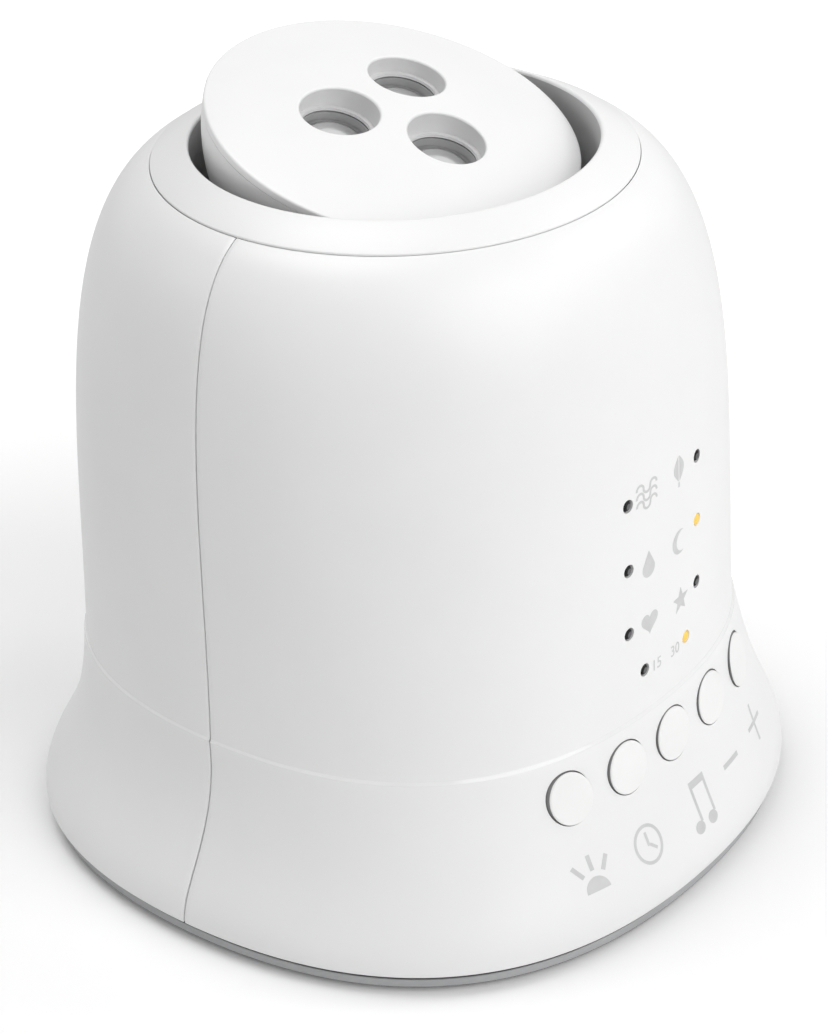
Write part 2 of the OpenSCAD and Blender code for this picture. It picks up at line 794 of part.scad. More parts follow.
// Buttons: a domed cap, a flange behind the wall and a stem to its switch
button_dome_r = 65;
flange_extra = 1.1;
button_flange_t = 1.2;
stem_r = 2;
switch_w = 6;
switch_h = 3.5;
plunger_r = 1.75;
plunger_out = 1.5;
plunger_in = 1;
plunger_fit = 0.1;
stem_end_y = board_y - switch_h - plunger_out;

function flange_y(x) =
    let (reach = button_d / 2 + flange_extra)
    wall_y(abs(x) + reach, button_z + reach, -1) + 1.3 * wall + 0.4;

module button(x) {
    point = front_point(x, button_z);
    normal = front_normal(x, button_z);
    back_y = flange_y(x);
    color("white") {
        intersection() {
            translate([x, back_y, button_z]) to_front() oval(x, button_d / 2, skirt_r);
            translate(point + normal * (button_proud - button_dome_r)) sphere(r = button_dome_r);
        }
        translate([x, back_y + button_flange_t, button_z]) to_front()
            oval(x, button_d / 2 + flange_extra, button_flange_t);
        translate([x, stem_end_y, button_z]) to_front() cylinder(r = stem_r, h = stem_end_y - back_y);
    }
}

module button_light() { button(button_x[0]); }
module button_timer() { button(button_x[1]); }
module button_sound() { button(button_x[2]); }
module button_volume_down() { button(button_x[3]); }
module button_volume_up() { button(button_x[4]); }

module plunger(x) {
    color("dimgray") translate([x, stem_end_y + plunger_out + plunger_in, button_z]) to_front()
        cylinder(r = plunger_r, h = plunger_out + plunger_in);
}

module plunger_light() { plunger(button_x[0]); }
module plunger_timer() { plunger(button_x[1]); }
module plunger_sound() { plunger(button_x[2]); }
module plunger_volume_down() { plunger(button_x[3]); }
module plunger_volume_up() { plunger(button_x[4]); }

module button_switches() {
    color("black") for (x = button_x) translate([x, board_y, button_z]) to_front() difference() {
        translate([-switch_w / 2, -switch_w / 2, 0]) cube([switch_w, switch_w, switch_h]);
        translate([0, 0, switch_h - plunger_in - button_travel - 0.3])
            cylinder(r = plunger_r + plunger_fit, h = switch_h);
    }
}

module control_board() {
    color("darkgreen") difference() {
        translate([-board_half_w, board_y, board_low_z])
            cube([2 * board_half_w, board_t, board_high_z - board_low_z]);
        for (x = [-control_screw_x, control_screw_x], z = control_screw_z)
            translate([x, board_y - 1, z]) to_rear() cylinder(r = screw_r + hole_fit, h = board_t + 2);
    }
}

module control_board_screws() {
    color("silver") for (x = [-control_screw_x, control_screw_x], z = control_screw_z)
        translate([x, board_y + board_t, z]) to_front() screw(control_screw_l);
}

// Indicator lamps: a domed body in the wall, a flange and two legs to the board
led_body_l = 4;
led_flange_t = 1;
led_leg_r = 0.3;
led_leg_x = 0.9;
led_proud = 0.3;

module indicator(x, z) {
    front_y = wall_y(x, z, -1) - led_proud + led_d / 2;
    flange_front_y = front_y + led_body_l;
    translate([x, front_y, z]) sphere(d = led_d);
    translate([x, flange_front_y, z]) to_front() cylinder(d = led_d, h = led_body_l);
    translate([x, flange_front_y + led_flange_t, z]) to_front()
        cylinder(d = led_d + 0.8, h = led_flange_t);
    for (side = [-led_leg_x, led_leg_x])
        translate([x + side, board_y, z]) to_front()
            cylinder(r = led_leg_r, h = board_y - flange_front_y - led_flange_t / 2);
}

module indicator_lights_off() {
    color("black") for (p = led_places) if (!p[2]) indicator(p[0], p[1]);
}

module indicator_lights_on() {
    color("orange") for (p = led_places) if (p[2]) indicator(p[0], p[1]);
}

// Speaker: drawn along +Z with its front at 0, then turned to the rear
basket_l = 13;
basket_r = 17;
basket_t = 1.2;
frame_t = 1.6;
magnet_r = 16;
magnet_l = 10;
cone_l = 8;
cone_r = 8;
surround_w = 3;

module at_speaker() {
    translate([0, seat_y - gasket_t, speaker_z]) to_rear() children();
}

module speaker_frame() {
    mouth_r = speaker_d / 2 - 0.5;
    color("dimgray") at_speaker() difference() {
        union() {
            intersection() {
                translate([0, 0, -frame_t / 2])
                    cube([2 * frame_half_w, 2 * frame_half_w, frame_t], center = true);
                translate([0, 0, -frame_t]) cylinder(r = frame_half_w * 1.24, h = frame_t);
            }
            translate([0, 0, -frame_t - basket_l])
                cylinder(r1 = basket_r, r2 = mouth_r + basket_t, h = basket_l);
        }
        translate([0, 0, -frame_t - basket_l + basket_t])
            cylinder(r1 = basket_r - basket_t, r2 = mouth_r, h = basket_l - basket_t + 0.01);
        translate([0, 0, -frame_t]) cylinder(r = mouth_r, h = frame_t + 1);
        for (a = [0:90:270]) rotate([0, 0, a])
            translate([basket_r - 3, -7, -frame_t - basket_l + 3]) cube([12, 14, basket_l - 5]);
        for (x = [-speaker_screw_x, speaker_screw_x], y = [-speaker_screw_x, speaker_screw_x])
            translate([x, y, -frame_t - 1]) cylinder(r = screw_r + hole_fit, h = frame_t + 2);
    }
}

module speaker_magnet() {
    color("gray") at_speaker() translate([0, 0, -frame_t - basket_l - magnet_l]) {
        cylinder(r = magnet_r - 2, h = 2);
        translate([0, 0, 2]) cylinder(r = magnet_r, h = magnet_l - 2);
    }
}

module speaker_surround() {
    out_r = speaker_d / 2 - 0.7;
    mid_r = out_r - surround_w / 2;
    color("black") at_speaker() translate([0, 0, -frame_t]) rotate_extrude() translate([mid_r, 0])
        difference() {
            circle(d = surround_w);
            circle(d = surround_w - 1.2);
            translate([-surround_w, -surround_w]) square([2 * surround_w, surround_w]);
        }
}

module speaker_cone() {
    rim_r = speaker_d / 2 - 0.8 - surround_w + 0.1;
    color("darkslategray") at_speaker() translate([0, 0, -frame_t - cone_l]) rotate_extrude() polygon([
        [cone_r, 0], [rim_r, cone_l - 0.6], [rim_r, cone_l], [cone_r - 0.8, 0.4]
    ]);
}

module speaker_dust_cap() {
    cap_r = 14;
    color("black") at_speaker() translate([0, 0, -frame_t - cone_l + 0.5]) intersection() {
        translate([0, 0, 3.2 - cap_r]) difference() {
            sphere(r = cap_r);
            sphere(r = cap_r - 0.6);
        }
        cylinder(r = cone_r - 0.9, h = cap_r);
    }
}

module speaker_gasket() {
    color("black") translate([0, seat_y - gasket_t, speaker_z]) to_rear() difference() {
        cylinder(d = speaker_d + 2 * ring_t, h = gasket_t);
        translate([0, 0, -1]) cylinder(d = speaker_d, h = gasket_t + 2);
    }
}

module speaker_screws() {
    color("silver") at_speaker()
        for (x = [-speaker_screw_x, speaker_screw_x], y = [-speaker_screw_x, speaker_screw_x])
            translate([x, y, -frame_t]) screw(speaker_screw_l);
}

module main_board() {
    color("darkgreen") difference() {
        translate([-main_w / 2, main_back_y - main_l, main_z]) cube([main_w, main_l, board_t]);
        for (x = [-main_screw_x, main_screw_x], y = [-main_screw_y, main_screw_y])
            translate([x, main_y + y, main_z - 1]) cylinder(r = screw_r + hole_fit, h = board_t + 2);
    }
}

module main_board_screws() {
    color("silver") for (x = [-main_screw_x, main_screw_x], y = [-main_screw_y, main_screw_y])
        translate([x, main_y + y, main_top_z]) mirror([0, 0, 1]) screw(main_screw_l);
}

chips = [[-16, 4, 12, 12, 1.8], [6, 8, 8, 6, 1.6], [14, -14, 7, 7, 1.6]];
cans = [[-22, -12, 4, 9], [-12, -16, 4, 9], [20, 18, 3, 7]];

module board_chips() {
    color("black") for (c = chips) translate([c[0] - c[2] / 2, main_y + c[1] - c[3] / 2, main_top_z])
        cube([c[2], c[3], c[4]]);
}

module capacitors() {
    color("navy") for (c = cans) translate([c[0], main_y + c[1], main_top_z]) cylinder(r = c[2], h = c[3]);
}

jack_back_y = jack_face_y - nose_l - jack_l;

module power_jack() {
    color("black") difference() {
        union() {
            translate([-jack_w / 2, jack_back_y, main_top_z]) cube([jack_w, jack_l, jack_h]);
            translate([0, jack_back_y + 1, jack_z]) to_rear()
                cylinder(r = jack_nose_r, h = jack_l + nose_l - 1);
        }
        translate([0, jack_face_y - jack_bore_l, jack_z]) to_rear()
            cylinder(r = jack_bore_r, h = jack_bore_l + 1);
    }
}

module power_jack_pin() {
    color("silver") translate([0, jack_face_y - jack_bore_l, jack_z]) to_rear()
        cylinder(r = jack_pin_r, h = jack_bore_l - 1);
}

// Ribbon cable: a flat strip from the control board over a bend to the main board
ribbon_w = 14;
ribbon_t = 0.8;
plug_h = 5;
plug_w = ribbon_w + 2;
ribbon_bend_r = 8;
ribbon_rise = 12;
ribbon_inset = 8;
ribbon_z = board_low_z + ribbon_rise;
ribbon_y = main_back_y - main_l + ribbon_inset;

module ribbon_connectors() {
    color("ivory") {
        translate([-plug_w / 2, board_y + board_t, ribbon_z - plug_h / 2])
            cube([plug_w, plug_h, plug_h]);
        translate([-plug_w / 2, ribbon_y - plug_h / 2, main_top_z])
            cube([plug_w, plug_h, plug_h]);
    }
}

module ribbon_cable() {
    bend_y = ribbon_y - ribbon_bend_r;
    bend_z = ribbon_z - ribbon_bend_r;
    start_y = board_y + board_t + plug_h;
    color("lightgray") rotate([90, 0, 90]) linear_extrude(ribbon_w, center = true) {
        translate([start_y, ribbon_z - ribbon_t / 2]) square([bend_y - start_y, ribbon_t]);
        intersection() {
            translate([bend_y, bend_z]) difference() {
                circle(r = ribbon_bend_r + ribbon_t / 2);
                circle(r = ribbon_bend_r - ribbon_t / 2);
            }
            translate([bend_y, bend_z]) square(2 * ribbon_bend_r);
        }
        translate([ribbon_y - ribbon_t / 2, main_top_z + plug_h])
            square([ribbon_t, bend_z - main_top_z - plug_h]);
    }
}

// Speaker leads: two wires from the frame's lower edge, round a bend, down to the board
lead_r = 0.8;
lead_bend_r = 5;
lead_x = [6, 10];

module speaker_leads() {
    start_y = seat_y - gasket_t - frame_t;
    start_z = speaker_z - frame_half_w + 3;
    run = 3;
    low_y = start_y - run - lead_bend_r;
    color("firebrick") for (x = lead_x) {
        translate([x, start_y, start_z]) to_front() cylinder(r = lead_r, h = run);
        translate([x, start_y - run, start_z - lead_bend_r]) rotate([90, 0, -90]) rotate_extrude(angle = 90)
            translate([lead_bend_r, 0]) circle(r = lead_r);
        translate([x, low_y, main_top_z]) cylinder(r = lead_r, h = start_z - lead_bend_r - main_top_z);
    }
}

front_shell();
rear_shell();
top_collar();
base_plate();
foot_pads();
base_screws();
head_socket();
socket_screws();
tension_bolt();
clamp_shoe();
disc_springs();
tension_nut();
head_cover();
head_bowl();
lamp_board();
lamp_leds();
lamp_holders();
lamp_lenses();
head_screws();
button_light();
button_timer();
button_sound();
button_volume_down();
button_volume_up();
plunger_light();
plunger_timer();
plunger_sound();
plunger_volume_down();
plunger_volume_up();
control_board();
control_board_screws();
button_switches();
indicator_lights_off();
indicator_lights_on();
speaker_frame();
speaker_magnet();
speaker_cone();
speaker_surround();
speaker_dust_cap();
speaker_gasket();
speaker_screws();
main_board();
main_board_screws();
board_chips();
capacitors();
power_jack();
power_jack_pin();
ribbon_cable();
ribbon_connectors();
speaker_leads();
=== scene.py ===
import math

import bmesh
import bpy
from mathutils import Matrix, Vector
from mathutils.bvhtree import BVHTree
from mathutils.geometry import interpolate_bezier


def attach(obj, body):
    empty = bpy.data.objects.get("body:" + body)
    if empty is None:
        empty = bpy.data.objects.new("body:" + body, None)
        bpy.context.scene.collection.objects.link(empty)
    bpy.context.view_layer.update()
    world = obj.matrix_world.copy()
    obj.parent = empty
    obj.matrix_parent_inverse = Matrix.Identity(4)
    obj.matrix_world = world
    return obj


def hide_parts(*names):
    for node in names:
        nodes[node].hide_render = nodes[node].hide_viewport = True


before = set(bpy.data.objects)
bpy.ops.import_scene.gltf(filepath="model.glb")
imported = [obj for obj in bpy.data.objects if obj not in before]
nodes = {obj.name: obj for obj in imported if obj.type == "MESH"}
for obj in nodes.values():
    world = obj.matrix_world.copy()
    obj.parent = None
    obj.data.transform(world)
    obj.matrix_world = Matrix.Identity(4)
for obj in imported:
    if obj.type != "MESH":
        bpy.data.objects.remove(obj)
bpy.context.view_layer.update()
scene = bpy.context.scene
scene.view_settings.view_transform = "Standard"


# Studio: a pale paper floor that looks whiter further out, a white surround, a broad soft lamp
# before the buttons, smaller ones to the right and rear left, and one overhead. It is not part
# of the object.
floor_bm = bmesh.new()
bmesh.ops.create_grid(floor_bm, x_segments=1, y_segments=1, size=4.0)
floor_mesh = bpy.data.meshes.new("studio_floor")
floor_bm.to_mesh(floor_mesh)
floor_bm.free()
floor = bpy.data.objects.new("studio_floor", floor_mesh)
scene.collection.objects.link(floor)

floor_paper = bpy.data.materials.new("floor_paper")
floor_paper.use_nodes = True
tree = floor_paper.node_tree
paper = tree.nodes["Principled BSDF"]
paper.inputs["Base Color"].default_value = (0.94, 0.94, 0.94, 1)
paper.inputs["Roughness"].default_value = 0.9
paper.inputs["Specular IOR Level"].default_value = 0.1
paper.inputs["Emission Color"].default_value = (1, 1, 1, 1)
rays = tree.nodes.new("ShaderNodeLightPath")
place = tree.nodes.new("ShaderNodeTexCoord")
away = tree.nodes.new("ShaderNodeVectorMath")
away.operation = "LENGTH"
tree.links.new(place.outputs["Object"], away.inputs[0])
whiter = tree.nodes.new("ShaderNodeMapRange")
whiter.inputs["From Min"].default_value = 0.10
whiter.inputs["From Max"].default_value = 0.50
whiter.inputs["To Min"].default_value = 0.07
whiter.inputs["To Max"].default_value = 0.70
tree.links.new(away.outputs["Value"], whiter.inputs["Value"])
lift = tree.nodes.new("ShaderNodeMath")
lift.operation = "MULTIPLY"
tree.links.new(rays.outputs["Is Camera Ray"], lift.inputs[0])
tree.links.new(whiter.outputs["Result"], lift.inputs[1])
tree.links.new(lift.outputs[0], paper.inputs["Emission Strength"])
floor_mesh.materials.append(floor_paper)

surround = bpy.data.worlds.new("surround")
scene.world = surround
surround.use_nodes = True
tree = surround.node_tree
light_ground = tree.nodes["Background"]
light_ground.inputs["Color"].default_value = (1, 1, 1, 1)
light_ground.inputs["Strength"].default_value = 0.35
seen_ground = tree.nodes.new("ShaderNodeBackground")
seen_ground.inputs["Color"].default_value = (1, 1, 1, 1)
seen_ground.inputs["Strength"].default_value = 1.0
rays = tree.nodes.new("ShaderNodeLightPath")
seen = tree.nodes.new("ShaderNodeMath")
seen.operation = "MAXIMUM"
seen_too = tree.nodes.new("ShaderNodeMath")
seen_too.operation = "MAXIMUM"
either = tree.nodes.new("ShaderNodeMixShader")
tree.links.new(rays.outputs["Is Camera Ray"], seen.inputs[0])
tree.links.new(rays.outputs["Is Glossy Ray"], seen.inputs[1])
tree.links.new(seen.outputs[0], seen_too.inputs[0])
tree.links.new(rays.outputs["Is Transmission Ray"], seen_too.inputs[1])
tree.links.new(seen_too.outputs[0], either.inputs[0])
tree.links.new(light_ground.outputs[0], either.inputs[1])
tree.links.new(seen_ground.outputs[0], either.inputs[2])
tree.links.new(either.outputs[0], tree.nodes["World Output"].inputs["Surface"])

body_middle = Vector((0, 0, 0.08))
for lamp_name, spot, width, watts in (
    ("soft_lamp_front", (-0.12, -1.04, 0.74), 1.2, 8.6),
    ("soft_lamp_right", (0.85, -0.60, 0.95), 0.45, 2.4),
    ("soft_lamp_left", (-0.70, 0.83, 0.58), 0.4, 0.5),
    ("soft_lamp_top", (-0.10, 0.30, 1.20), 0.7, 5.2),
):
    lamp_data = bpy.data.lights.new(lamp_name, "AREA")
    lamp_data.shape = "DISK"
    lamp_data.size = width
    lamp_data.energy = watts
    lamp = bpy.data.objects.new(lamp_name, lamp_data)
    lamp.location = spot
    aim = body_middle - Vector(spot)
    lamp.rotation_euler = aim.to_track_quat("-Z", "Y").to_euler()
    scene.collection.objects.link(lamp)

eye, target = Vector((-0.4074, -0.3218, 0.3612)), Vector((0.00086, -0.00108, 0.0604))
roll = math.radians(-1.83)
ahead = (target - eye).normalized()
right = ahead.cross(Vector((0, 0, 1))).normalized()
up = right.cross(ahead)
right, up = (math.cos(roll) * right + math.sin(roll) * up,
             math.cos(roll) * up - math.sin(roll) * right)
camera_data = bpy.data.cameras.new("camera")
camera_data.lens = 103.43
camera_data.sensor_width = 36
camera_data.clip_start = 0.01
camera = bpy.data.objects.new("camera", camera_data)
camera.matrix_world = Matrix.Translation(eye) @ Matrix((right, up, -ahead)).transposed().to_4x4()
scene.collection.objects.link(camera)
scene.camera = camera


# Base plate: one injection moulding in grey ABS, a shallow squared tray with a rebate under
# the housing's edge. Its underside, lower rounded edge and the rebate's ledge are coloured
# near-black as painted shade. Its spigot reaches up into the shells, four recessed screws hold
# it from below, and four feet sink into it.
plate_radius, plate_low, plate_high = 0.075, 0.0012, 0.0043
rebate_radius, rebate_z = 0.0738, 0.0031
spigot_outside, spigot_inside, spigot_top, tray_floor = 0.0726, 0.0708, 0.0070, 0.0034
under_round, rebate_round = 0.0003, 0.0002
screw_ring, screw_hole, screw_long, screw_recess, recess_long = 0.060, 0.0016, 0.012, 0.0029, 0.0022
foot_ring, foot_recess, foot_long = 0.051, 0.007, 0.0016
neck_z, waist_z, skirt_z = 0.140, 0.0417, 0.0046
squareness, flare_square, front_swell, edge_flat = 0.0265, 0.011, 0.00125, 0.0009
sharp_angle = math.radians(35)


def surface(name, dark, light, patch, rough, grain, depth, metallic=0.0, gloss=0.5, stretch=(1, 1, 1)):
    """A finish with a faint cloudy tone, and a fine grain that sets both roughness and relief."""
    finish = bpy.data.materials.new(name)
    finish.use_nodes = True
    tree = finish.node_tree
    shader = tree.nodes["Principled BSDF"]
    shader.inputs["Metallic"].default_value = metallic
    shader.inputs["Specular IOR Level"].default_value = gloss
    place = tree.nodes.new("ShaderNodeTexCoord")
    scaled = tree.nodes.new("ShaderNodeMapping")
    scaled.inputs["Scale"].default_value = stretch
    tree.links.new(place.outputs["Object"], scaled.inputs["Vector"])
    cloud = tree.nodes.new("ShaderNodeTexNoise")
    cloud.inputs["Scale"].default_value = patch
    cloud.inputs["Detail"].default_value = 4
    tree.links.new(scaled.outputs["Vector"], cloud.inputs["Vector"])
    tone = tree.nodes.new("ShaderNodeValToRGB")
    tone.color_ramp.elements[0].position = 0.3
    tone.color_ramp.elements[0].color = (*dark, 1)
    tone.color_ramp.elements[1].position = 0.7
    tone.color_ramp.elements[1].color = (*light, 1)
    tree.links.new(cloud.outputs["Fac"], tone.inputs["Fac"])
    tree.links.new(tone.outputs["Color"], shader.inputs["Base Color"])
    fine = tree.nodes.new("ShaderNodeTexNoise")
    fine.inputs["Scale"].default_value = grain
    fine.inputs["Detail"].default_value = 2
    tree.links.new(scaled.outputs["Vector"], fine.inputs["Vector"])
    sheen = tree.nodes.new("ShaderNodeMapRange")
    sheen.inputs["To Min"].default_value = rough[0]
    sheen.inputs["To Max"].default_value = rough[1]
    tree.links.new(fine.outputs["Fac"], sheen.inputs["Value"])
    tree.links.new(sheen.outputs["Result"], shader.inputs["Roughness"])
    relief = tree.nodes.new("ShaderNodeBump")
    relief.inputs["Strength"].default_value = 0.5
    relief.inputs["Distance"].default_value = depth
    tree.links.new(fine.outputs["Fac"], relief.inputs["Height"])
    tree.links.new(relief.outputs["Normal"], shader.inputs["Normal"])
    return finish


def square_plan(bm):
    """Squares a round plan, swells the flare to the front and flattens the foot in front and behind."""
    for v in bm.verts:
        radius = math.hypot(v.co.x, v.co.y)
        if radius < 1e-6:
            continue
        turn = math.atan2(v.co.x, -v.co.y)
        flare = min(1, max(0, (v.co.z - skirt_z) / (waist_z - skirt_z)))
        bell = min(1, max(0, (v.co.z - waist_z) / (neck_z - waist_z)))
        share = squareness * (1 - bell ** 2) + flare_square * math.sin(math.pi * flare ** 1.7)
        swell = front_swell * math.sin(math.pi * flare)
        flat = edge_flat * (1 - flare) * math.cos(turn) ** 2
        stretch = 1 - share * math.cos(4 * turn) + (swell * math.cos(turn) - flat) / radius
        v.co.x *= stretch
        v.co.y *= stretch


def turned(outline, steps, closed=True):
    """A solid of revolution about Z from an outline of radius and height."""
    bm = bmesh.new()
    line = [bm.verts.new((r, 0, z)) for r, z in outline]
    edges = [bm.edges.new(pair) for pair in zip(line, line[1:])]
    if closed:
        edges.append(bm.edges.new((line[-1], line[0])))
    bmesh.ops.spin(bm, geom=line + edges, cent=(0, 0, 0), axis=(0, 0, 1),
                   angle=math.tau, steps=steps, use_merge=True)
    bmesh.ops.remove_doubles(bm, verts=bm.verts[:], dist=1e-7)
    bmesh.ops.dissolve_degenerate(bm, edges=bm.edges[:], dist=1e-7)
    bmesh.ops.recalc_face_normals(bm, faces=bm.faces[:])
    return bm


def round_rings(bm, rings, size, segments):
    """Rounds the ring edges that lie at the given radii and heights."""
    near = [e for e in bm.edges if any(
        all(abs(math.hypot(v.co.x, v.co.y) - r) < 1e-6 and abs(v.co.z - z) < 1e-6 for v in e.verts)
        for r, z in rings)]
    bmesh.ops.bevel(bm, geom=near, offset=size, affect="EDGES", segments=segments,
                    profile=0.5, material=-1)


def piece(bm, name, finishes):
    """Makes the mesh an object at the origin, smooth except along its sharp edges."""
    mesh = bpy.data.meshes.new(name)
    bm.to_mesh(mesh)
    bm.free()
    for finish in finishes:
        mesh.materials.append(finish)
    mesh.shade_smooth()
    mesh.set_sharp_from_angle(angle=sharp_angle)
    made = bpy.data.objects.new(name, mesh)
    scene.collection.objects.link(made)
    return made


def cut_away(made, tool_bm):
    """Cuts the tool's shape out of a piece, as a core pin does in the mould."""
    tool_mesh = bpy.data.meshes.new("core_pins")
    tool_bm.to_mesh(tool_mesh)
    tool_bm.free()
    tool = bpy.data.objects.new("core_pins", tool_mesh)
    scene.collection.objects.link(tool)
    cut = made.modifiers.new("cut", "BOOLEAN")
    cut.operation = "DIFFERENCE"
    cut.solver = "EXACT"
    cut.object = tool
    view = bpy.context.evaluated_depsgraph_get()
    mesh = bpy.data.meshes.new_from_object(made.evaluated_get(view))
    made.modifiers.clear()
    made.data = mesh
    mesh.shade_smooth()
    mesh.set_sharp_from_angle(angle=sharp_angle)
    bpy.data.objects.remove(tool)


def pin(bm, radius, length, where, sides=48):
    """A round pin whose middle and direction are those of the given placing."""
    bmesh.ops.create_cone(bm, cap_ends=True, segments=sides, radius1=radius, radius2=radius,
                          depth=length, matrix=where)


base_grey = surface("base_grey", (0.36, 0.365, 0.37), (0.42, 0.425, 0.43),
                    60, (0.45, 0.60), 2600, 0.00004)
base_painted_shade = surface("base_painted_shade", (0.12, 0.12, 0.122), (0.15, 0.15, 0.152),
                    60, (0.55, 0.70), 2600, 0.00004)

plate_bm = turned([
    (0, plate_low), (plate_radius, plate_low), (plate_radius, rebate_z), (rebate_radius, rebate_z),
    (rebate_radius, plate_high), (spigot_outside, plate_high), (spigot_outside, spigot_top),
    (spigot_inside, spigot_top), (spigot_inside, tray_floor), (0, tray_floor),
], 192)
round_rings(plate_bm, [(plate_radius, plate_low)], under_round, 3)
round_rings(plate_bm, [(plate_radius, rebate_z)], rebate_round, 2)
ledge_slack = 0.00005
# The underside, the lower rounded edge and the rebate's ledge take the near-black painted shade.
for face in plate_bm.faces:
    middle = face.calc_center_median()
    on_ledge = rebate_radius - 2 * ledge_slack < middle.xy.length < plate_radius - rebate_round
    if middle.z < plate_low + under_round or (on_ledge and middle.z > rebate_z - ledge_slack):
        face.material_index = 1
square_plan(plate_bm)
base = piece(plate_bm, "base_tray", [base_grey, base_painted_shade])
recesses = bmesh.new()
for quarter in range(4):
    spoke = Matrix.Rotation(math.radians(45 + 90 * quarter), 4, "Z")
    pin(recesses, screw_hole, screw_long, spoke @ Matrix.Translation((screw_ring, 0, 0)))
    pin(recesses, screw_recess, recess_long, spoke @ Matrix.Translation((screw_ring, 0, plate_low)))
    foot_spoke = Matrix.Rotation(math.radians(90 * quarter), 4, "Z")
    pin(recesses, foot_recess, foot_long, foot_spoke @ Matrix.Translation((foot_ring, 0, plate_low)), 64)
cut_away(base, recesses)
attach(base, "housing")
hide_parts("base_plate")


# Feet and base screws: four soft rubber pads glued into the plate's recesses, and four
# zinc-plated screws that draw the plate up against the bosses of the two shells.
foot_rubber = surface("foot_rubber", (0.045, 0.045, 0.047), (0.07, 0.07, 0.072),
                      120, (0.75, 0.90), 3000, 0.00008)
plated_steel = surface("plated_steel", (0.50, 0.50, 0.51), (0.62, 0.62, 0.64),
                       200, (0.22, 0.38), 900, 0.00001, metallic=1.0, stretch=(6, 1, 1))


def dress(finish, *names):
    """Gives solids that keep their own shape their finish."""
    for name in names:
        nodes[name].data.materials.clear()
        nodes[name].data.materials.append(finish)


dress(foot_rubber, "foot_pads")
dress(plated_steel, "base_screws")


# Housing: two half shells of satin white ABS, 2.4 mm thick, that meet along the sides in a
# tongue and step. The tongue strips behind the seam are coloured near-black as painted shade,
# so that the seam looks dark. A fine crease, smoother than the rest, runs round the waist,
# where the flare leaves the bell.
shell_white = surface("shell_white", (0.80, 0.80, 0.80), (0.83, 0.83, 0.83),
                      25, (0.34, 0.42), 4200, 0.000012)
crease_white = surface("crease_white", (0.80, 0.80, 0.80), (0.83, 0.83, 0.83),
                       25, (0.07, 0.12), 4200, 0.000002)
shell_thick, rim_round, waist_radius = 0.0024, 0.00016, 0.0646
seam_half, tongue, tongue_behind, tongue_thick = 0.0002, 0.002, 0.0013, 0.0008
crease_low, crease_high, crease_depth = 0.0408, 0.0417, 0.00037
flare_line = interpolate_bezier(
    Vector((0.0762, 0, 0.0046)), Vector((0.0762, 0, 0.0133)),
    Vector((0.06624, 0, 0.0188)), Vector((0.0650, 0, 0.0409)), 44)
upper_line = interpolate_bezier(
    Vector((waist_radius, 0, crease_high)), Vector((0.06236, 0, 0.0825)),
    Vector((0.0662, 0, 0.1309)), Vector((0.0464, 0, 0.1400)), 80)
crease_line = [Vector((0.06501 - 0.00005 * t - crease_depth * (3 - 2 * t) * t * t, 0,
                       crease_low + (crease_high - crease_low) * t))
               for t in [i / 10 for i in range(11)]]
line_gap = 0.0001
bell_line = [p for p in flare_line if p.z < crease_low - line_gap] + crease_line
bell_line += [p for p in upper_line if p.z > crease_high + line_gap]


def bell_sweep(line, start, turn, steps):
    """Sweeps a line of the bell round from one azimuth, and squares the plan."""
    bm = bmesh.new()
    verts = [bm.verts.new(p) for p in line]
    edges = [bm.edges.new(pair) for pair in zip(verts, verts[1:])]
    bmesh.ops.rotate(bm, verts=verts, cent=(0, 0, 0), matrix=Matrix.Rotation(start, 3, "Z"))
    bmesh.ops.spin(bm, geom=verts + edges, cent=(0, 0, 0), axis=(0, 0, 1), angle=turn, steps=steps)
    square_plan(bm)
    bm.normal_update()
    bm.faces.ensure_lookup_table()
    sample = bm.faces[len(bm.faces) // 3]
    if sample.normal.dot(sample.calc_center_median() * Vector((1, 1, 0))) < 0:
        bmesh.ops.reverse_faces(bm, faces=bm.faces[:])
    return bm


def polish_crease(bm):
    """Marks the faces of the crease, which the mould leaves smoother than the satin round it."""
    for face in bm.faces:
        if crease_low < face.calc_center_median().z < crease_high:
            face.material_index = 1


def thicken(made, thick, rim):
    """Gives a skin its wall inwards and rounds the rims."""
    wall = made.modifiers.new("wall", "SOLIDIFY")
    wall.thickness = thick
    wall.offset = -1
    wall.use_even_offset = True
    if rim:
        edge = made.modifiers.new("rim", "BEVEL")
        edge.width = rim
        edge.segments = 2
        edge.limit_method = "ANGLE"
        edge.angle_limit = math.radians(55)


seam_turn = seam_half / waist_radius
half_turn = math.pi - 2 * seam_turn
front_bm = bell_sweep(bell_line, math.pi + seam_turn, half_turn, 150)
front_skin = BVHTree.FromBMesh(front_bm)
polish_crease(front_bm)
front = piece(front_bm, "front_half", [shell_white, crease_white])
thicken(front, shell_thick, rim_round)

button_x = [-0.0296, -0.0148, 0, 0.0148, 0.0296]
button_z, button_radius, button_gap = 0.0328, 0.0053, 0.00025
narrowing = [math.sqrt(1 - (x / waist_radius) ** 2) for x in button_x]
lamp_side, lamp_low_z, lamp_pitch, lamp_hole = 0.0117, 0.0606, 0.0138, 0.00135
timer_side, timer_z = 0.0072, 0.0505
lamp_spots = [(side * lamp_side, lamp_low_z + row * lamp_pitch, row == 1 and side == 1)
              for row in range(3) for side in (-1, 1)]
lamp_spots += [(side * timer_side, timer_z, side == 1) for side in (-1, 1)]
drill_out, front_drill, rear_drill = 0.070, 0.05, 0.04
to_front = Matrix.Rotation(math.radians(90), 4, "X")
holes = bmesh.new()
for x, narrow in zip(button_x, narrowing):
    oval = Matrix.Translation((x, -drill_out, button_z)) @ to_front @ Matrix.Diagonal((narrow, 1, 1, 1))
    pin(holes, button_radius + button_gap, front_drill, oval, 96)
for x, z, _ in lamp_spots:
    pin(holes, lamp_hole, front_drill, Matrix.Translation((x, -drill_out, z)) @ to_front)
cut_away(front, holes)
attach(front, "housing")
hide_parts("front_shell")

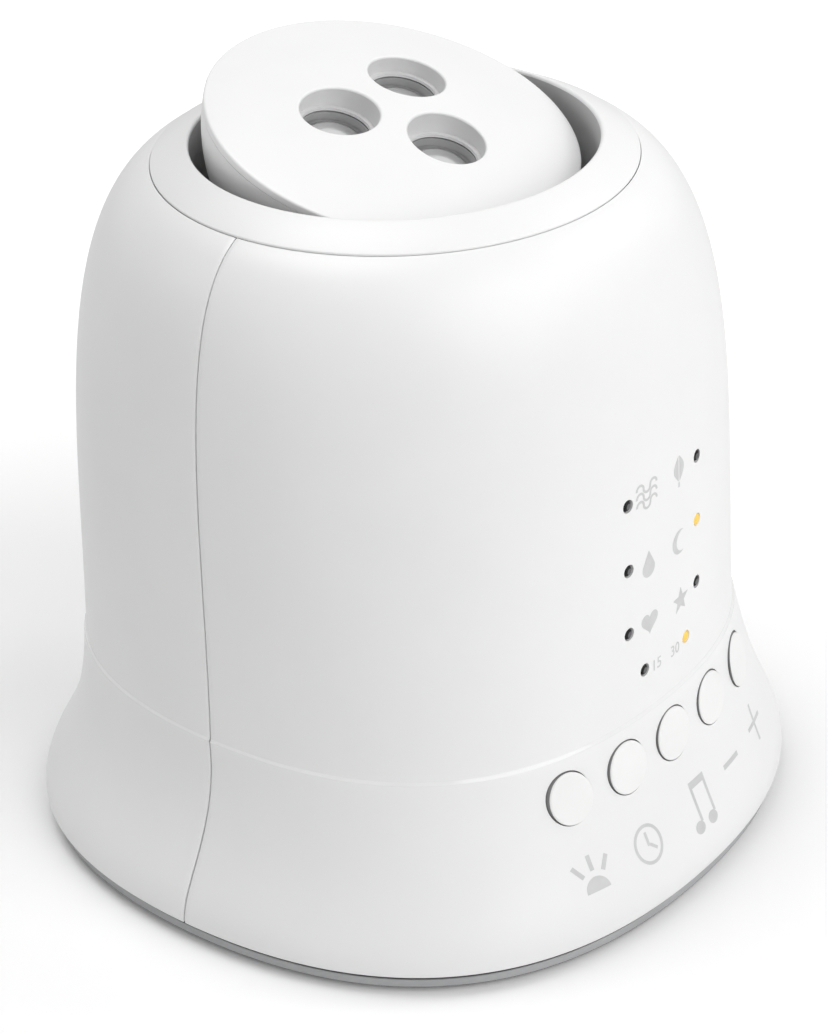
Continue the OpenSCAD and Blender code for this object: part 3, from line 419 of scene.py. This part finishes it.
rear_bm = bell_sweep(bell_line, seam_turn, half_turn, 150)
polish_crease(rear_bm)
rear = piece(rear_bm, "rear_half", [shell_white, crease_white])
thicken(rear, shell_thick, rim_round)
holes = bmesh.new()
grille_z, grille_pitch, grille_hole = 0.0836, 0.0052, 0.0013
for ring in range(4):
    reach, count = ring * grille_pitch, max(1, 6 * ring)
    for step in range(count):
        turn = step * math.tau / count
        spot = (reach * math.cos(turn), drill_out, grille_z + reach * math.sin(turn))
        pin(holes, grille_hole, rear_drill, Matrix.Translation(spot) @ to_front, 32)
jack_z, jack_hole = 0.0194, 0.0044
pin(holes, jack_hole, rear_drill, Matrix.Translation((0, drill_out, jack_z)) @ to_front, 64)
cut_away(rear, holes)
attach(rear, "housing")
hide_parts("rear_shell")

# Near-black painted shade for the tongue strips, standing in for the shade in the seam.
tongue_painted_shade = surface("tongue_painted_shade", (0.06, 0.06, 0.06), (0.09, 0.09, 0.09),
                      60, (0.55, 0.70), 2600, 0.00003)
tongue_line = [p - Vector((tongue_behind, 0, 0)) for p in bell_line]
tongue_turn = tongue / waist_radius
for side, start in (("left", math.pi - tongue_turn), ("right", -tongue_turn)):
    strip_bm = bell_sweep(tongue_line, start, 2 * tongue_turn, 4)
    strip = piece(strip_bm, "seam_tongue_" + side, [tongue_painted_shade])
    thicken(strip, tongue_thick, 0)
    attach(strip, "housing")


# Collar: a white ABS ring that drops into the neck of both shells and locks them. Its top
# slopes up to a rounded lip, and inside a matt wall goes down to the floor of the cup, which
# carries the head. Inside the lip, below its rounding, the collar is coloured mid-grey as
# painted shade.
collar_white = surface("collar_white", (0.81, 0.81, 0.81), (0.84, 0.84, 0.84),
                       30, (0.34, 0.42), 4200, 0.000012)
cup_painted_shade = surface("cup_painted_shade", (0.44, 0.44, 0.44), (0.48, 0.48, 0.48),
                   60, (0.45, 0.58), 2600, 0.00003)
collar_radius, collar_edge_z, collar_spigot, collar_low_z = 0.04625, 0.1404, 0.04385, 0.1360
lip_radius, lip_z, lip_round, edge_round = 0.0388, 0.1441, 0.0010, 0.00015
cup_outside, cup_mouth, cup_floor_z, cup_under_z, painted_shade_below = 0.0412, 0.029, 0.12055, 0.11695, 0.1429
collar_bm = turned([
    (collar_radius, neck_z), (collar_radius, collar_edge_z), (lip_radius, lip_z),
    (lip_radius, cup_floor_z), (cup_mouth, cup_floor_z), (cup_mouth, cup_under_z),
    (cup_outside, cup_under_z), (cup_outside, collar_low_z), (collar_spigot, collar_low_z),
    (collar_spigot, neck_z),
], 192)
round_rings(collar_bm, [(lip_radius, lip_z)], lip_round, 6)
round_rings(collar_bm, [(collar_radius, collar_edge_z)], edge_round, 2)
# Faces inside the lip and below its rounding take the mid-grey painted shade.
for face in collar_bm.faces:
    middle = face.calc_center_median()
    if middle.xy.length < lip_radius + 0.0001 and middle.z < painted_shade_below:
        face.material_index = 1
collar = piece(collar_bm, "collar_ring", [collar_white, cup_painted_shade])
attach(collar, "housing")
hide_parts("top_collar")


# Socket and tension stack: a grey acetal dish with a spherical seat, screwed under the collar,
# and a steel bolt whose shoe of natural acetal, disc springs and nut pull the ball down into it.
socket_grey = surface("socket_grey", (0.17, 0.17, 0.175), (0.21, 0.21, 0.215),
                      50, (0.40, 0.52), 2500, 0.00003)
acetal = surface("acetal", (0.62, 0.60, 0.53), (0.68, 0.66, 0.59), 60, (0.30, 0.42), 2500, 0.00002)
dress(socket_grey, "head_socket")
dress(acetal, "clamp_shoe")
dress(plated_steel, "socket_screws", "tension_bolt", "disc_springs", "tension_nut")


# Ball head: a white ABS half ball with a slot for the bolt, closed by a crowned cover with
# three lamp wells, whose matt walls are coloured light grey as painted shade. The cover's
# spigot snaps into the bowl, and the rim is left nearly sharp.
head_white = surface("head_white", (0.82, 0.82, 0.82), (0.85, 0.85, 0.85),
                     30, (0.33, 0.41), 4200, 0.000012)
well_painted_shade = surface("well_painted_shade", (0.64, 0.64, 0.64), (0.70, 0.70, 0.70),
                    60, (0.42, 0.55), 2600, 0.00002)
head_radius, head_inside, head_z, head_tilt = 0.0362, 0.034, 0.14555, math.radians(16.5)
head_place = Matrix.Translation((0, 0, head_z)) @ Matrix.Rotation(head_tilt, 4, "X")
crown_height, cover_edge, joint_gap = 0.0045, 0.0014, 0.0001
crown_radius = (head_radius ** 2 + crown_height ** 2) / (2 * crown_height)
slot_z, slot_width, slot_long, slot_tall = -0.034, 0.007, 0.0384, 0.014


def crown_at(r):
    """Height of the cover's crown above the ball's centre."""
    return math.sqrt(crown_radius ** 2 - r * r) - crown_radius + crown_height


def bowl_arc(radius, steps=40):
    """Points of radius and height from the bottom of the bowl up to the joint with the cover."""
    rim_turn = math.acos((cover_edge + joint_gap) / radius)
    turns = [rim_turn * i / steps for i in range(steps + 1)]
    return [(radius * math.sin(a), -radius * math.cos(a)) for a in turns]


def add(into, bm):
    """Adds one mesh to another and lets it go."""
    part = bpy.data.meshes.new("part")
    bm.to_mesh(part)
    bm.free()
    into.from_mesh(part)
    bpy.data.meshes.remove(part)


bowl_bm = turned(bowl_arc(head_radius) + bowl_arc(head_inside)[::-1], 144, closed=False)
bowl = piece(bowl_bm, "ball_bowl", [head_white])
slot_bm = bmesh.new()
slot_box = Matrix.Translation((0, 0, slot_z)) @ Matrix.Diagonal((slot_width, slot_long, slot_tall, 1))
bmesh.ops.create_cube(slot_bm, size=1, matrix=slot_box)
cut_away(bowl, slot_bm)
bowl.data.transform(head_place)
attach(bowl, "head")
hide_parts("head_bowl")

well_ring, well_radius, well_round, well_floor = 0.0118, 0.00755, 0.0005, -0.000172
well_spots = [Matrix.Rotation(math.radians(a), 4, "Z") @ Matrix.Translation((0, -well_ring, 0))
              for a in (0, 120, 240)]
cover_low_radius, cover_spigot, cover_inside = 0.03617, 0.0336, 0.0314
cover_spigot_z, cover_thick, cover_round, well_drill = -0.0044, 0.0022, 0.00035, 0.03
cover_bm = turned(
    [(head_radius * i / 48, crown_at(head_radius * i / 48)) for i in range(49)]
    + [(cover_low_radius, -cover_edge), (cover_spigot, -cover_edge),
       (cover_spigot, cover_spigot_z), (cover_inside, cover_spigot_z)]
    + [(cover_inside * i / 16, crown_at(cover_inside * i / 16) - cover_thick) for i in range(16, -1, -1)],
    192, closed=False)
round_rings(cover_bm, [(head_radius, 0)], cover_round, 3)
cover = piece(cover_bm, "crowned_cover", [head_white])
holes = bmesh.new()
for spot in well_spots:
    pin(holes, well_radius + well_round, well_drill, spot, 128)
cut_away(cover, holes)
cover.data.transform(head_place)
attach(cover, "head")
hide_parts("head_cover")

wells_bm = bmesh.new()
mouth, deep = well_radius + well_round, well_floor - crown_at(well_ring)
mouth_low, well_outside, well_bore = -0.0018, mouth + 0.0002, well_radius - 0.0008
well_under, follow_long = deep - 0.0006, 0.0022
for spot in well_spots:
    ring_bm = turned([
        (mouth, 0), (well_radius, 0), (well_radius, deep), (well_bore, deep), (well_bore, well_under),
        (well_outside, well_under), (well_outside, mouth_low), (mouth, mouth_low)], 128)
    round_rings(ring_bm, [(well_radius, 0)], well_round - 0.00002, 6)
    # Faces below the rounded mouth take the light grey painted shade of the well.
    for face in ring_bm.faces:
        if face.calc_center_median().z < -well_round:
            face.material_index = 1
    for v in ring_bm.verts:
        at = spot @ v.co
        share = min(1, max(0, 1 + (v.co.z - mouth_low) / follow_long))
        level = crown_at(math.hypot(at.x, at.y)) * share + crown_at(well_ring) * (1 - share)
        v.co = at + Vector((0, 0, level))
    add(wells_bm, ring_bm)
wells_bm.transform(head_place)
wells = piece(wells_bm, "lamp_wells", [head_white, well_painted_shade])
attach(wells, "head")


# Lamps: three plastic tubes, coloured mid-grey as painted shade, that stand on the lamp board
# under the wells, each round a white LED. A half-silvered acrylic lens drops into the mouth of
# each. Three screws hang the board from the cover.
# Mid-grey painted shade for the lamp holders deep in the wells.
holder_grey = surface("holder_grey", (0.30, 0.30, 0.302), (0.36, 0.36, 0.362),
                      90, (0.40, 0.55), 2600, 0.00002)
lens_satin = surface("lens_satin", (0.62, 0.62, 0.625), (0.70, 0.70, 0.705),
                     90, (0.18, 0.26), 1800, 0.000005, metallic=1.0)
board_green = surface("board_green", (0.010, 0.055, 0.022), (0.018, 0.085, 0.035),
                      500, (0.28, 0.40), 1600, 0.00003)
led_epoxy = surface("led_epoxy", (0.80, 0.74, 0.42), (0.90, 0.86, 0.58),
                    300, (0.10, 0.18), 1500, 0.00001)
lens_radius, lens_rise, lens_top = 0.0067, 0.0020, well_floor - 0.0004
lens_under = lens_top - 0.003
dome_radius = (lens_radius ** 2 + lens_rise ** 2) / (2 * lens_rise)
dome = [(r, lens_top - dome_radius + math.sqrt(dome_radius ** 2 - r * r))
        for r in [lens_radius * i / 24 for i in range(25)]]
lenses_bm = bmesh.new()
for spot in well_spots:
    lens_bm = turned(dome + [(lens_radius, lens_under), (0, lens_under)], 96, closed=False)
    lens_bm.transform(head_place @ spot)
    add(lenses_bm, lens_bm)
lenses = piece(lenses_bm, "lens_domes", [lens_satin])
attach(lenses, "head")
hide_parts("lamp_lenses")
dress(holder_grey, "lamp_holders")
dress(board_green, "lamp_board")
dress(led_epoxy, "lamp_leds")
dress(plated_steel, "head_screws")


# Buttons: five white ABS caps with a faintly domed face that follows the flare, and a soft edge.
# Their sides are coloured dark grey as painted shade of the gap round them. The outer ones are
# oval, which makes them look nearly round. A flange keeps each in its hole, and a stem rests on
# the plunger of its switch.
button_white = surface("button_white", (0.82, 0.82, 0.815), (0.85, 0.85, 0.845),
                       80, (0.33, 0.42), 4200, 0.000012)
black_plastic = surface("black_plastic", (0.012, 0.012, 0.012), (0.022, 0.022, 0.022),
                        90, (0.40, 0.55), 2500, 0.00003)
cap_side_painted_shade = surface("cap_side_painted_shade", (0.20, 0.20, 0.20), (0.24, 0.24, 0.24),
                   80, (0.50, 0.65), 4200, 0.000012)
cap_curve, button_proud, button_edge = 0.065, 0.0008, 0.0003
flange_radius, flange_thick, flange_gap = button_radius + 0.0011, 0.0012, 0.0004
slanted_wall = 1.3 * shell_thick
stem_radius, stem_end, before_y, inwards = 0.002, -0.045, -0.2, Vector((0, 1, 0))
for key, x, narrow in zip(("light", "timer", "sound", "volume_down", "volume_up"), button_x, narrowing):
    spot, normal, _, _ = front_skin.ray_cast(Vector((x, before_y, button_z)), inwards)
    if normal.y > 0:
        normal = -normal
    centre = spot + normal * (button_proud - cap_curve)
    corner = Vector((abs(x) + flange_radius, before_y, button_z + flange_radius))
    flange_y = front_skin.ray_cast(corner, inwards)[0].y + slanted_wall + flange_gap
    face_rings = [button_radius * i / 16 for i in range(16)]
    face_rings += [button_radius - button_edge * (1 - math.sin(math.radians(a))) for a in range(0, 91, 15)]
    # Heights 4 to 1 stand for the face, the flange's two sides and the stem's end until they are placed.
    cap_bm = turned(
        [(r, 4) for r in face_rings]
        + [(button_radius, 3), (flange_radius, 3), (flange_radius, 2), (stem_radius, 2),
           (stem_radius, 1), (0, 1)], 96, closed=False)
    # The cap's side, between the face and the flange, takes the dark grey painted shade.
    for face in cap_bm.faces:
        if 3.1 < face.calc_center_median().z < 3.9:
            face.material_index = 1
    for v in cap_bm.verts:
        level = round(v.co.z)
        over = max(0, math.hypot(v.co.x, v.co.y) - button_radius + button_edge)
        px, pz = x + narrow * v.co.x, button_z + v.co.y
        py = {3: flange_y, 2: flange_y + flange_thick, 1: stem_end}.get(level)
        if level == 4:
            py = centre.y - math.sqrt(cap_curve ** 2 - (px - centre.x) ** 2 - (pz - centre.z) ** 2)
            py += button_edge - math.sqrt(max(0, button_edge ** 2 - over ** 2))
        v.co = (px, py, pz)
    bmesh.ops.recalc_face_normals(cap_bm, faces=cap_bm.faces[:])
    cap = piece(cap_bm, "cap_" + key, [button_white, cap_side_painted_shade])
    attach(cap, "button_" + key)
    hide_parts("button_" + key)
    dress(black_plastic, "plunger_" + key)


# Indicator lamps: eight 2.5 mm LEDs in smoked epoxy that show through holes in the front shell.
# Two of them are lit amber, one for the chosen sound and one for the timer.
lens_dark = surface("lens_dark", (0.006, 0.006, 0.007), (0.012, 0.012, 0.013),
                    400, (0.45, 0.60), 2500, 0.00001, gloss=0.15)
lens_core = surface("lens_core", (0.10, 0.10, 0.105), (0.15, 0.15, 0.155),
                    400, (0.45, 0.60), 2500, 0.00001, gloss=0.15)
lens_amber = surface("lens_amber", (0.50, 0.35, 0.06), (0.56, 0.40, 0.08),
                     400, (0.40, 0.55), 2500, 0.00001)
amber = lens_amber.node_tree.nodes["Principled BSDF"]
amber.inputs["Emission Color"].default_value = (1.0, 0.68, 0.15, 1)
amber.inputs["Emission Strength"].default_value = 0.42
lamp_radius, lamp_proud, core_radius = 0.00125, 0.0003, 0.0006
lamp_flange, flange_top, lamp_end = 0.00165, -0.004, -0.005
tip = [(lamp_radius * math.sin(a), lamp_radius * math.cos(a)) for a in [i * math.pi / 24 for i in range(13)]]
tip += [(lamp_radius, flange_top), (lamp_flange, flange_top), (lamp_flange, lamp_end), (0, lamp_end)]
for lamp_name, lit, finishes, stands_for, slot_name in (
    ("indicator_lenses_dark", False, [lens_dark, lens_core], "indicator_lights_off", "indicator_dark"),
    ("indicator_lenses_amber", True, [lens_amber], "indicator_lights_on", "indicator_amber"),
):
    tips_bm = bmesh.new()
    for x, z, on in lamp_spots:
        if on != lit:
            continue
        spot, _, _, _ = front_skin.ray_cast(Vector((x, before_y, z)), inwards)
        tip_bm = turned(tip, 32, closed=False)
        for face in tip_bm.faces:
            middle = face.calc_center_median()
            if not lit and middle.xy.length < core_radius and middle.z > 0:
                face.material_index = 1
        tip_bm.transform(Matrix.Translation((x, spot.y - lamp_proud + lamp_radius, z)) @ to_front)
        add(tips_bm, tip_bm)
    tips = piece(tips_bm, lamp_name, finishes)
    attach(tips, "housing")
    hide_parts(stands_for)


# Printed symbols: plain pictograms and two figures in pale grey ink, pad printed on the front
# shell, one beside each indicator lamp and one under each button. They are drawn in millimetres.
print_grey = surface("print_grey", (0.54, 0.54, 0.545), (0.60, 0.60, 0.605),
                     300, (0.45, 0.60), 5000, 0.00001)
ink_proud, ink_sunk, millimetre = 0.00004, 0.00003, 0.001


def disc(bm, r, u, v, squash):
    """A filled round, flattened by the squash."""
    bmesh.ops.create_circle(bm, cap_ends=True, radius=r, segments=40,
                            matrix=Matrix.Translation((u, v, 0)) @ Matrix.Diagonal((1, squash, 1, 1)))


def bar(bm, length, width, u=0.0, v=0.0, turn=0.0):
    """A straight stroke about its middle."""
    placing = Matrix.Translation((u, v, 0)) @ Matrix.Rotation(math.radians(turn), 4, "Z")
    bmesh.ops.create_grid(bm, x_segments=1, y_segments=1, size=0.5,
                          matrix=placing @ Matrix.Diagonal((length, width, 1, 1)))


def arc(bm, r_out, r_in, start, turn, u=0.0, v=0.0):
    """A curved stroke between two radii."""
    ends = [bm.verts.new((r, 0, 0)) for r in (r_in, r_out)]
    line = bm.edges.new(ends)
    bmesh.ops.rotate(bm, verts=ends, cent=(0, 0, 0), matrix=Matrix.Rotation(math.radians(start), 3, "Z"))
    bmesh.ops.translate(bm, verts=ends, vec=(u, v, 0))
    bmesh.ops.spin(bm, geom=ends + [line], cent=(u, v, 0), axis=(0, 0, 1), angle=math.radians(turn),
                   steps=max(8, int(abs(turn) / 9)))


def patch(bm, corners):
    """A filled outline."""
    bm.faces.new([bm.verts.new((u, v, 0)) for u, v in corners])


def sunrise(bm):
    patch(bm, [(2.7 * math.cos(a), 2.7 * math.sin(a) - 3.2) for a in [i * math.pi / 24 for i in range(25)]])
    for turn in (55, 90, 125):
        a = math.radians(turn)
        bar(bm, 3.0, 0.9, 5.4 * math.cos(a), 5.4 * math.sin(a) - 3.2, turn)


def clock(bm):
    arc(bm, 4.2, 3.5, 0, 360)
    bar(bm, 0.7, 2.9, 0, 1.1)
    bar(bm, 2.2, 0.7, 1.2, -0.9, -40)


def notes(bm):
    for u in (-2.3, 2.3):
        disc(bm, 1.5, u, -3.6, 0.8)
        bar(bm, 0.7, 6.2, u + 1.15, 0.3)
    bar(bm, 5.3, 1.4, 1.15, 4.1)


def minus(bm):
    bar(bm, 6.2, 0.9)


def plus(bm):
    bar(bm, 7.2, 0.7)
    bar(bm, 0.7, 3.25, 0, 1.975)
    bar(bm, 0.7, 3.25, 0, -1.975)


def waves(bm):
    for v in (1.7, 0, -1.7):
        for u, start in ((-2.0, 0), (0, 180), (2.0, 0)):
            arc(bm, 1.25, 0.75, start, 180, u, v)


def leaf(bm):
    for side in (-1, 1):
        edge = [(side * (0.2 + 1.8 * math.sin(math.pi * i / 16)), -2.8 + 6.0 * i / 16) for i in range(17)]
        patch(bm, edge if side > 0 else edge[::-1])
    bar(bm, 0.5, 1.2, 0, -3.6)


def drop(bm):
    turns = [math.radians(t) for t in range(-205, 26, 7)]
    patch(bm, [(2.1 * math.cos(a), 2.1 * math.sin(a) - 0.9) for a in turns] + [(0, 3.4)])


def moon(bm):
    outer_turns = [math.radians(t) for t in range(60, 301, 8)]
    inner_turns = [math.radians(t) for t in range(276, 83, -8)]
    patch(bm, [(2.9 * math.cos(a), 2.9 * math.sin(a)) for a in outer_turns]
          + [(1.15 + 2.5 * math.cos(a), 2.5 * math.sin(a)) for a in inner_turns])


def heart(bm):
    patch(bm, [(0.19 * 16 * math.sin(a) ** 3,
                0.19 * (13 * math.cos(a) - 5 * math.cos(2 * a) - 2 * math.cos(3 * a) - math.cos(4 * a)))
               for a in [math.tau * i / 48 for i in range(48)]][::-1])


def star(bm):
    points = [(3.2 if i % 2 == 0 else 1.4, math.radians(90 + 36 * i)) for i in range(10)]
    patch(bm, [(r * math.cos(a), r * math.sin(a)) for r, a in points])


def figures(words):
    """A function that draws plain figures, for the timer's minutes."""
    def draw(bm):
        curve = bpy.data.curves.new("figures", "FONT")
        curve.body = words
        curve.size = 4.2
        curve.align_x, curve.align_y = "CENTER", "CENTER"
        holder = bpy.data.objects.new("figures", curve)
        scene.collection.objects.link(holder)
        view = bpy.context.evaluated_depsgraph_get()
        mesh = bpy.data.meshes.new_from_object(holder.evaluated_get(view))
        bm.from_mesh(mesh)
        bpy.data.objects.remove(holder)
        bpy.data.meshes.remove(mesh)
    return draw


def printed(name, symbols):
    """Draws symbols flat, cuts them into small patches and lays them on the front shell."""
    sheet_bm = bmesh.new()
    for draw, x, z, size in symbols:
        bm = bmesh.new()
        draw(bm)
        bmesh.ops.remove_doubles(bm, verts=bm.verts[:], dist=1e-4)
        for axis in ((1, 0, 0), (0, 1, 0)):
            for cut in range(-7, 8):
                bmesh.ops.bisect_plane(bm, geom=bm.verts[:] + bm.edges[:] + bm.faces[:], dist=1e-5,
                                       plane_co=Vector(axis) * cut, plane_no=axis)
        for face in bm.faces:
            face.normal_update()
        bmesh.ops.reverse_faces(bm, faces=[f for f in bm.faces if f.normal.z < 0])
        ink = bmesh.ops.extrude_face_region(bm, geom=bm.faces[:], use_keep_orig=True)
        top = {e for e in ink["geom"] if isinstance(e, bmesh.types.BMVert)}
        for v in bm.verts:
            px, pz = x + v.co.x * size * millimetre, z + v.co.y * size * millimetre
            spot, _, _, _ = front_skin.ray_cast(Vector((px, before_y, pz)), inwards)
            v.co = (px, spot.y + (-ink_proud if v in top else ink_sunk), pz)
        bmesh.ops.recalc_face_normals(bm, faces=bm.faces[:])
        add(sheet_bm, bm)
    made = piece(sheet_bm, name, [print_grey])
    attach(made, "housing")


printed("button_symbols", [
    (sunrise, -0.0295, 0.0173, 1.0), (clock, -0.0151, 0.0170, 0.9), (notes, 0.0020, 0.0168, 1.0),
    (minus, 0.0160, 0.0186, 1.0), (plus, 0.0298, 0.0191, 1.0)])
printed("sound_symbols", [
    (waves, -0.0062, 0.0883, 1.0), (leaf, 0.0045, 0.0888, 0.9),
    (drop, -0.0058, 0.0732, 0.9), (moon, 0.0048, 0.0731, 0.9),
    (heart, -0.0055, 0.0605, 0.85), (star, 0.0052, 0.0599, 0.9)])
printed("timer_figures", [(figures("15"), -0.0034, 0.0499, 0.8), (figures("30"), 0.0030, 0.0498, 0.8)])


# Control board: a green glass-epoxy board behind the buttons on four posts of the front shell,
# with five black push switches soldered to it.
dress(board_green, "control_board")
dress(black_plastic, "button_switches")
dress(plated_steel, "control_board_screws")


# Speaker: a small full-range driver behind the rear grille. Its frame is pressed steel in black
# paint, its cone pulp paper with a rubber surround, and its magnet a grey ferrite ring.
speaker_black = surface("speaker_black", (0.015, 0.015, 0.016), (0.025, 0.025, 0.026),
                        120, (0.30, 0.45), 1500, 0.00002)
ferrite = surface("ferrite", (0.05, 0.05, 0.052), (0.08, 0.08, 0.082), 300, (0.50, 0.70), 1800, 0.00006)
cone_paper = surface("cone_paper", (0.012, 0.012, 0.013), (0.030, 0.030, 0.031),
                     700, (0.80, 0.95), 2200, 0.00015)
soft_rubber = surface("soft_rubber", (0.010, 0.010, 0.010), (0.018, 0.018, 0.018),
                      150, (0.60, 0.75), 2500, 0.00003)
dress(speaker_black, "speaker_frame")
dress(ferrite, "speaker_magnet")
dress(cone_paper, "speaker_cone", "speaker_dust_cap")
dress(soft_rubber, "speaker_surround", "speaker_gasket")
dress(plated_steel, "speaker_screws")


# Main board: a second green board on the base plate's posts, with its chips, sleeved capacitors
# and the power jack, whose nose reaches into a hole low in the rear shell.
sleeve_blue = surface("sleeve_blue", (0.010, 0.014, 0.075), (0.018, 0.024, 0.110),
                      200, (0.20, 0.30), 1500, 0.00001)
dress(board_green, "main_board")
dress(plated_steel, "main_board_screws", "power_jack_pin")
dress(black_plastic, "board_chips", "power_jack")
dress(sleeve_blue, "capacitors")


# Wiring: a grey ribbon cable with ivory nylon plugs between the two boards, and two red leads
# from the speaker down to the main board.
ribbon_grey = surface("ribbon_grey", (0.30, 0.30, 0.30), (0.38, 0.38, 0.38),
                      800, (0.40, 0.50), 2000, 0.00003)
plug_ivory = surface("plug_ivory", (0.62, 0.59, 0.50), (0.70, 0.67, 0.58),
                     120, (0.38, 0.50), 2500, 0.00002)
lead_red = surface("lead_red", (0.22, 0.010, 0.008), (0.30, 0.018, 0.014),
                   150, (0.35, 0.48), 2500, 0.00002)
dress(ribbon_grey, "ribbon_cable")
dress(plug_ivory, "ribbon_connectors")
dress(lead_red, "speaker_leads")
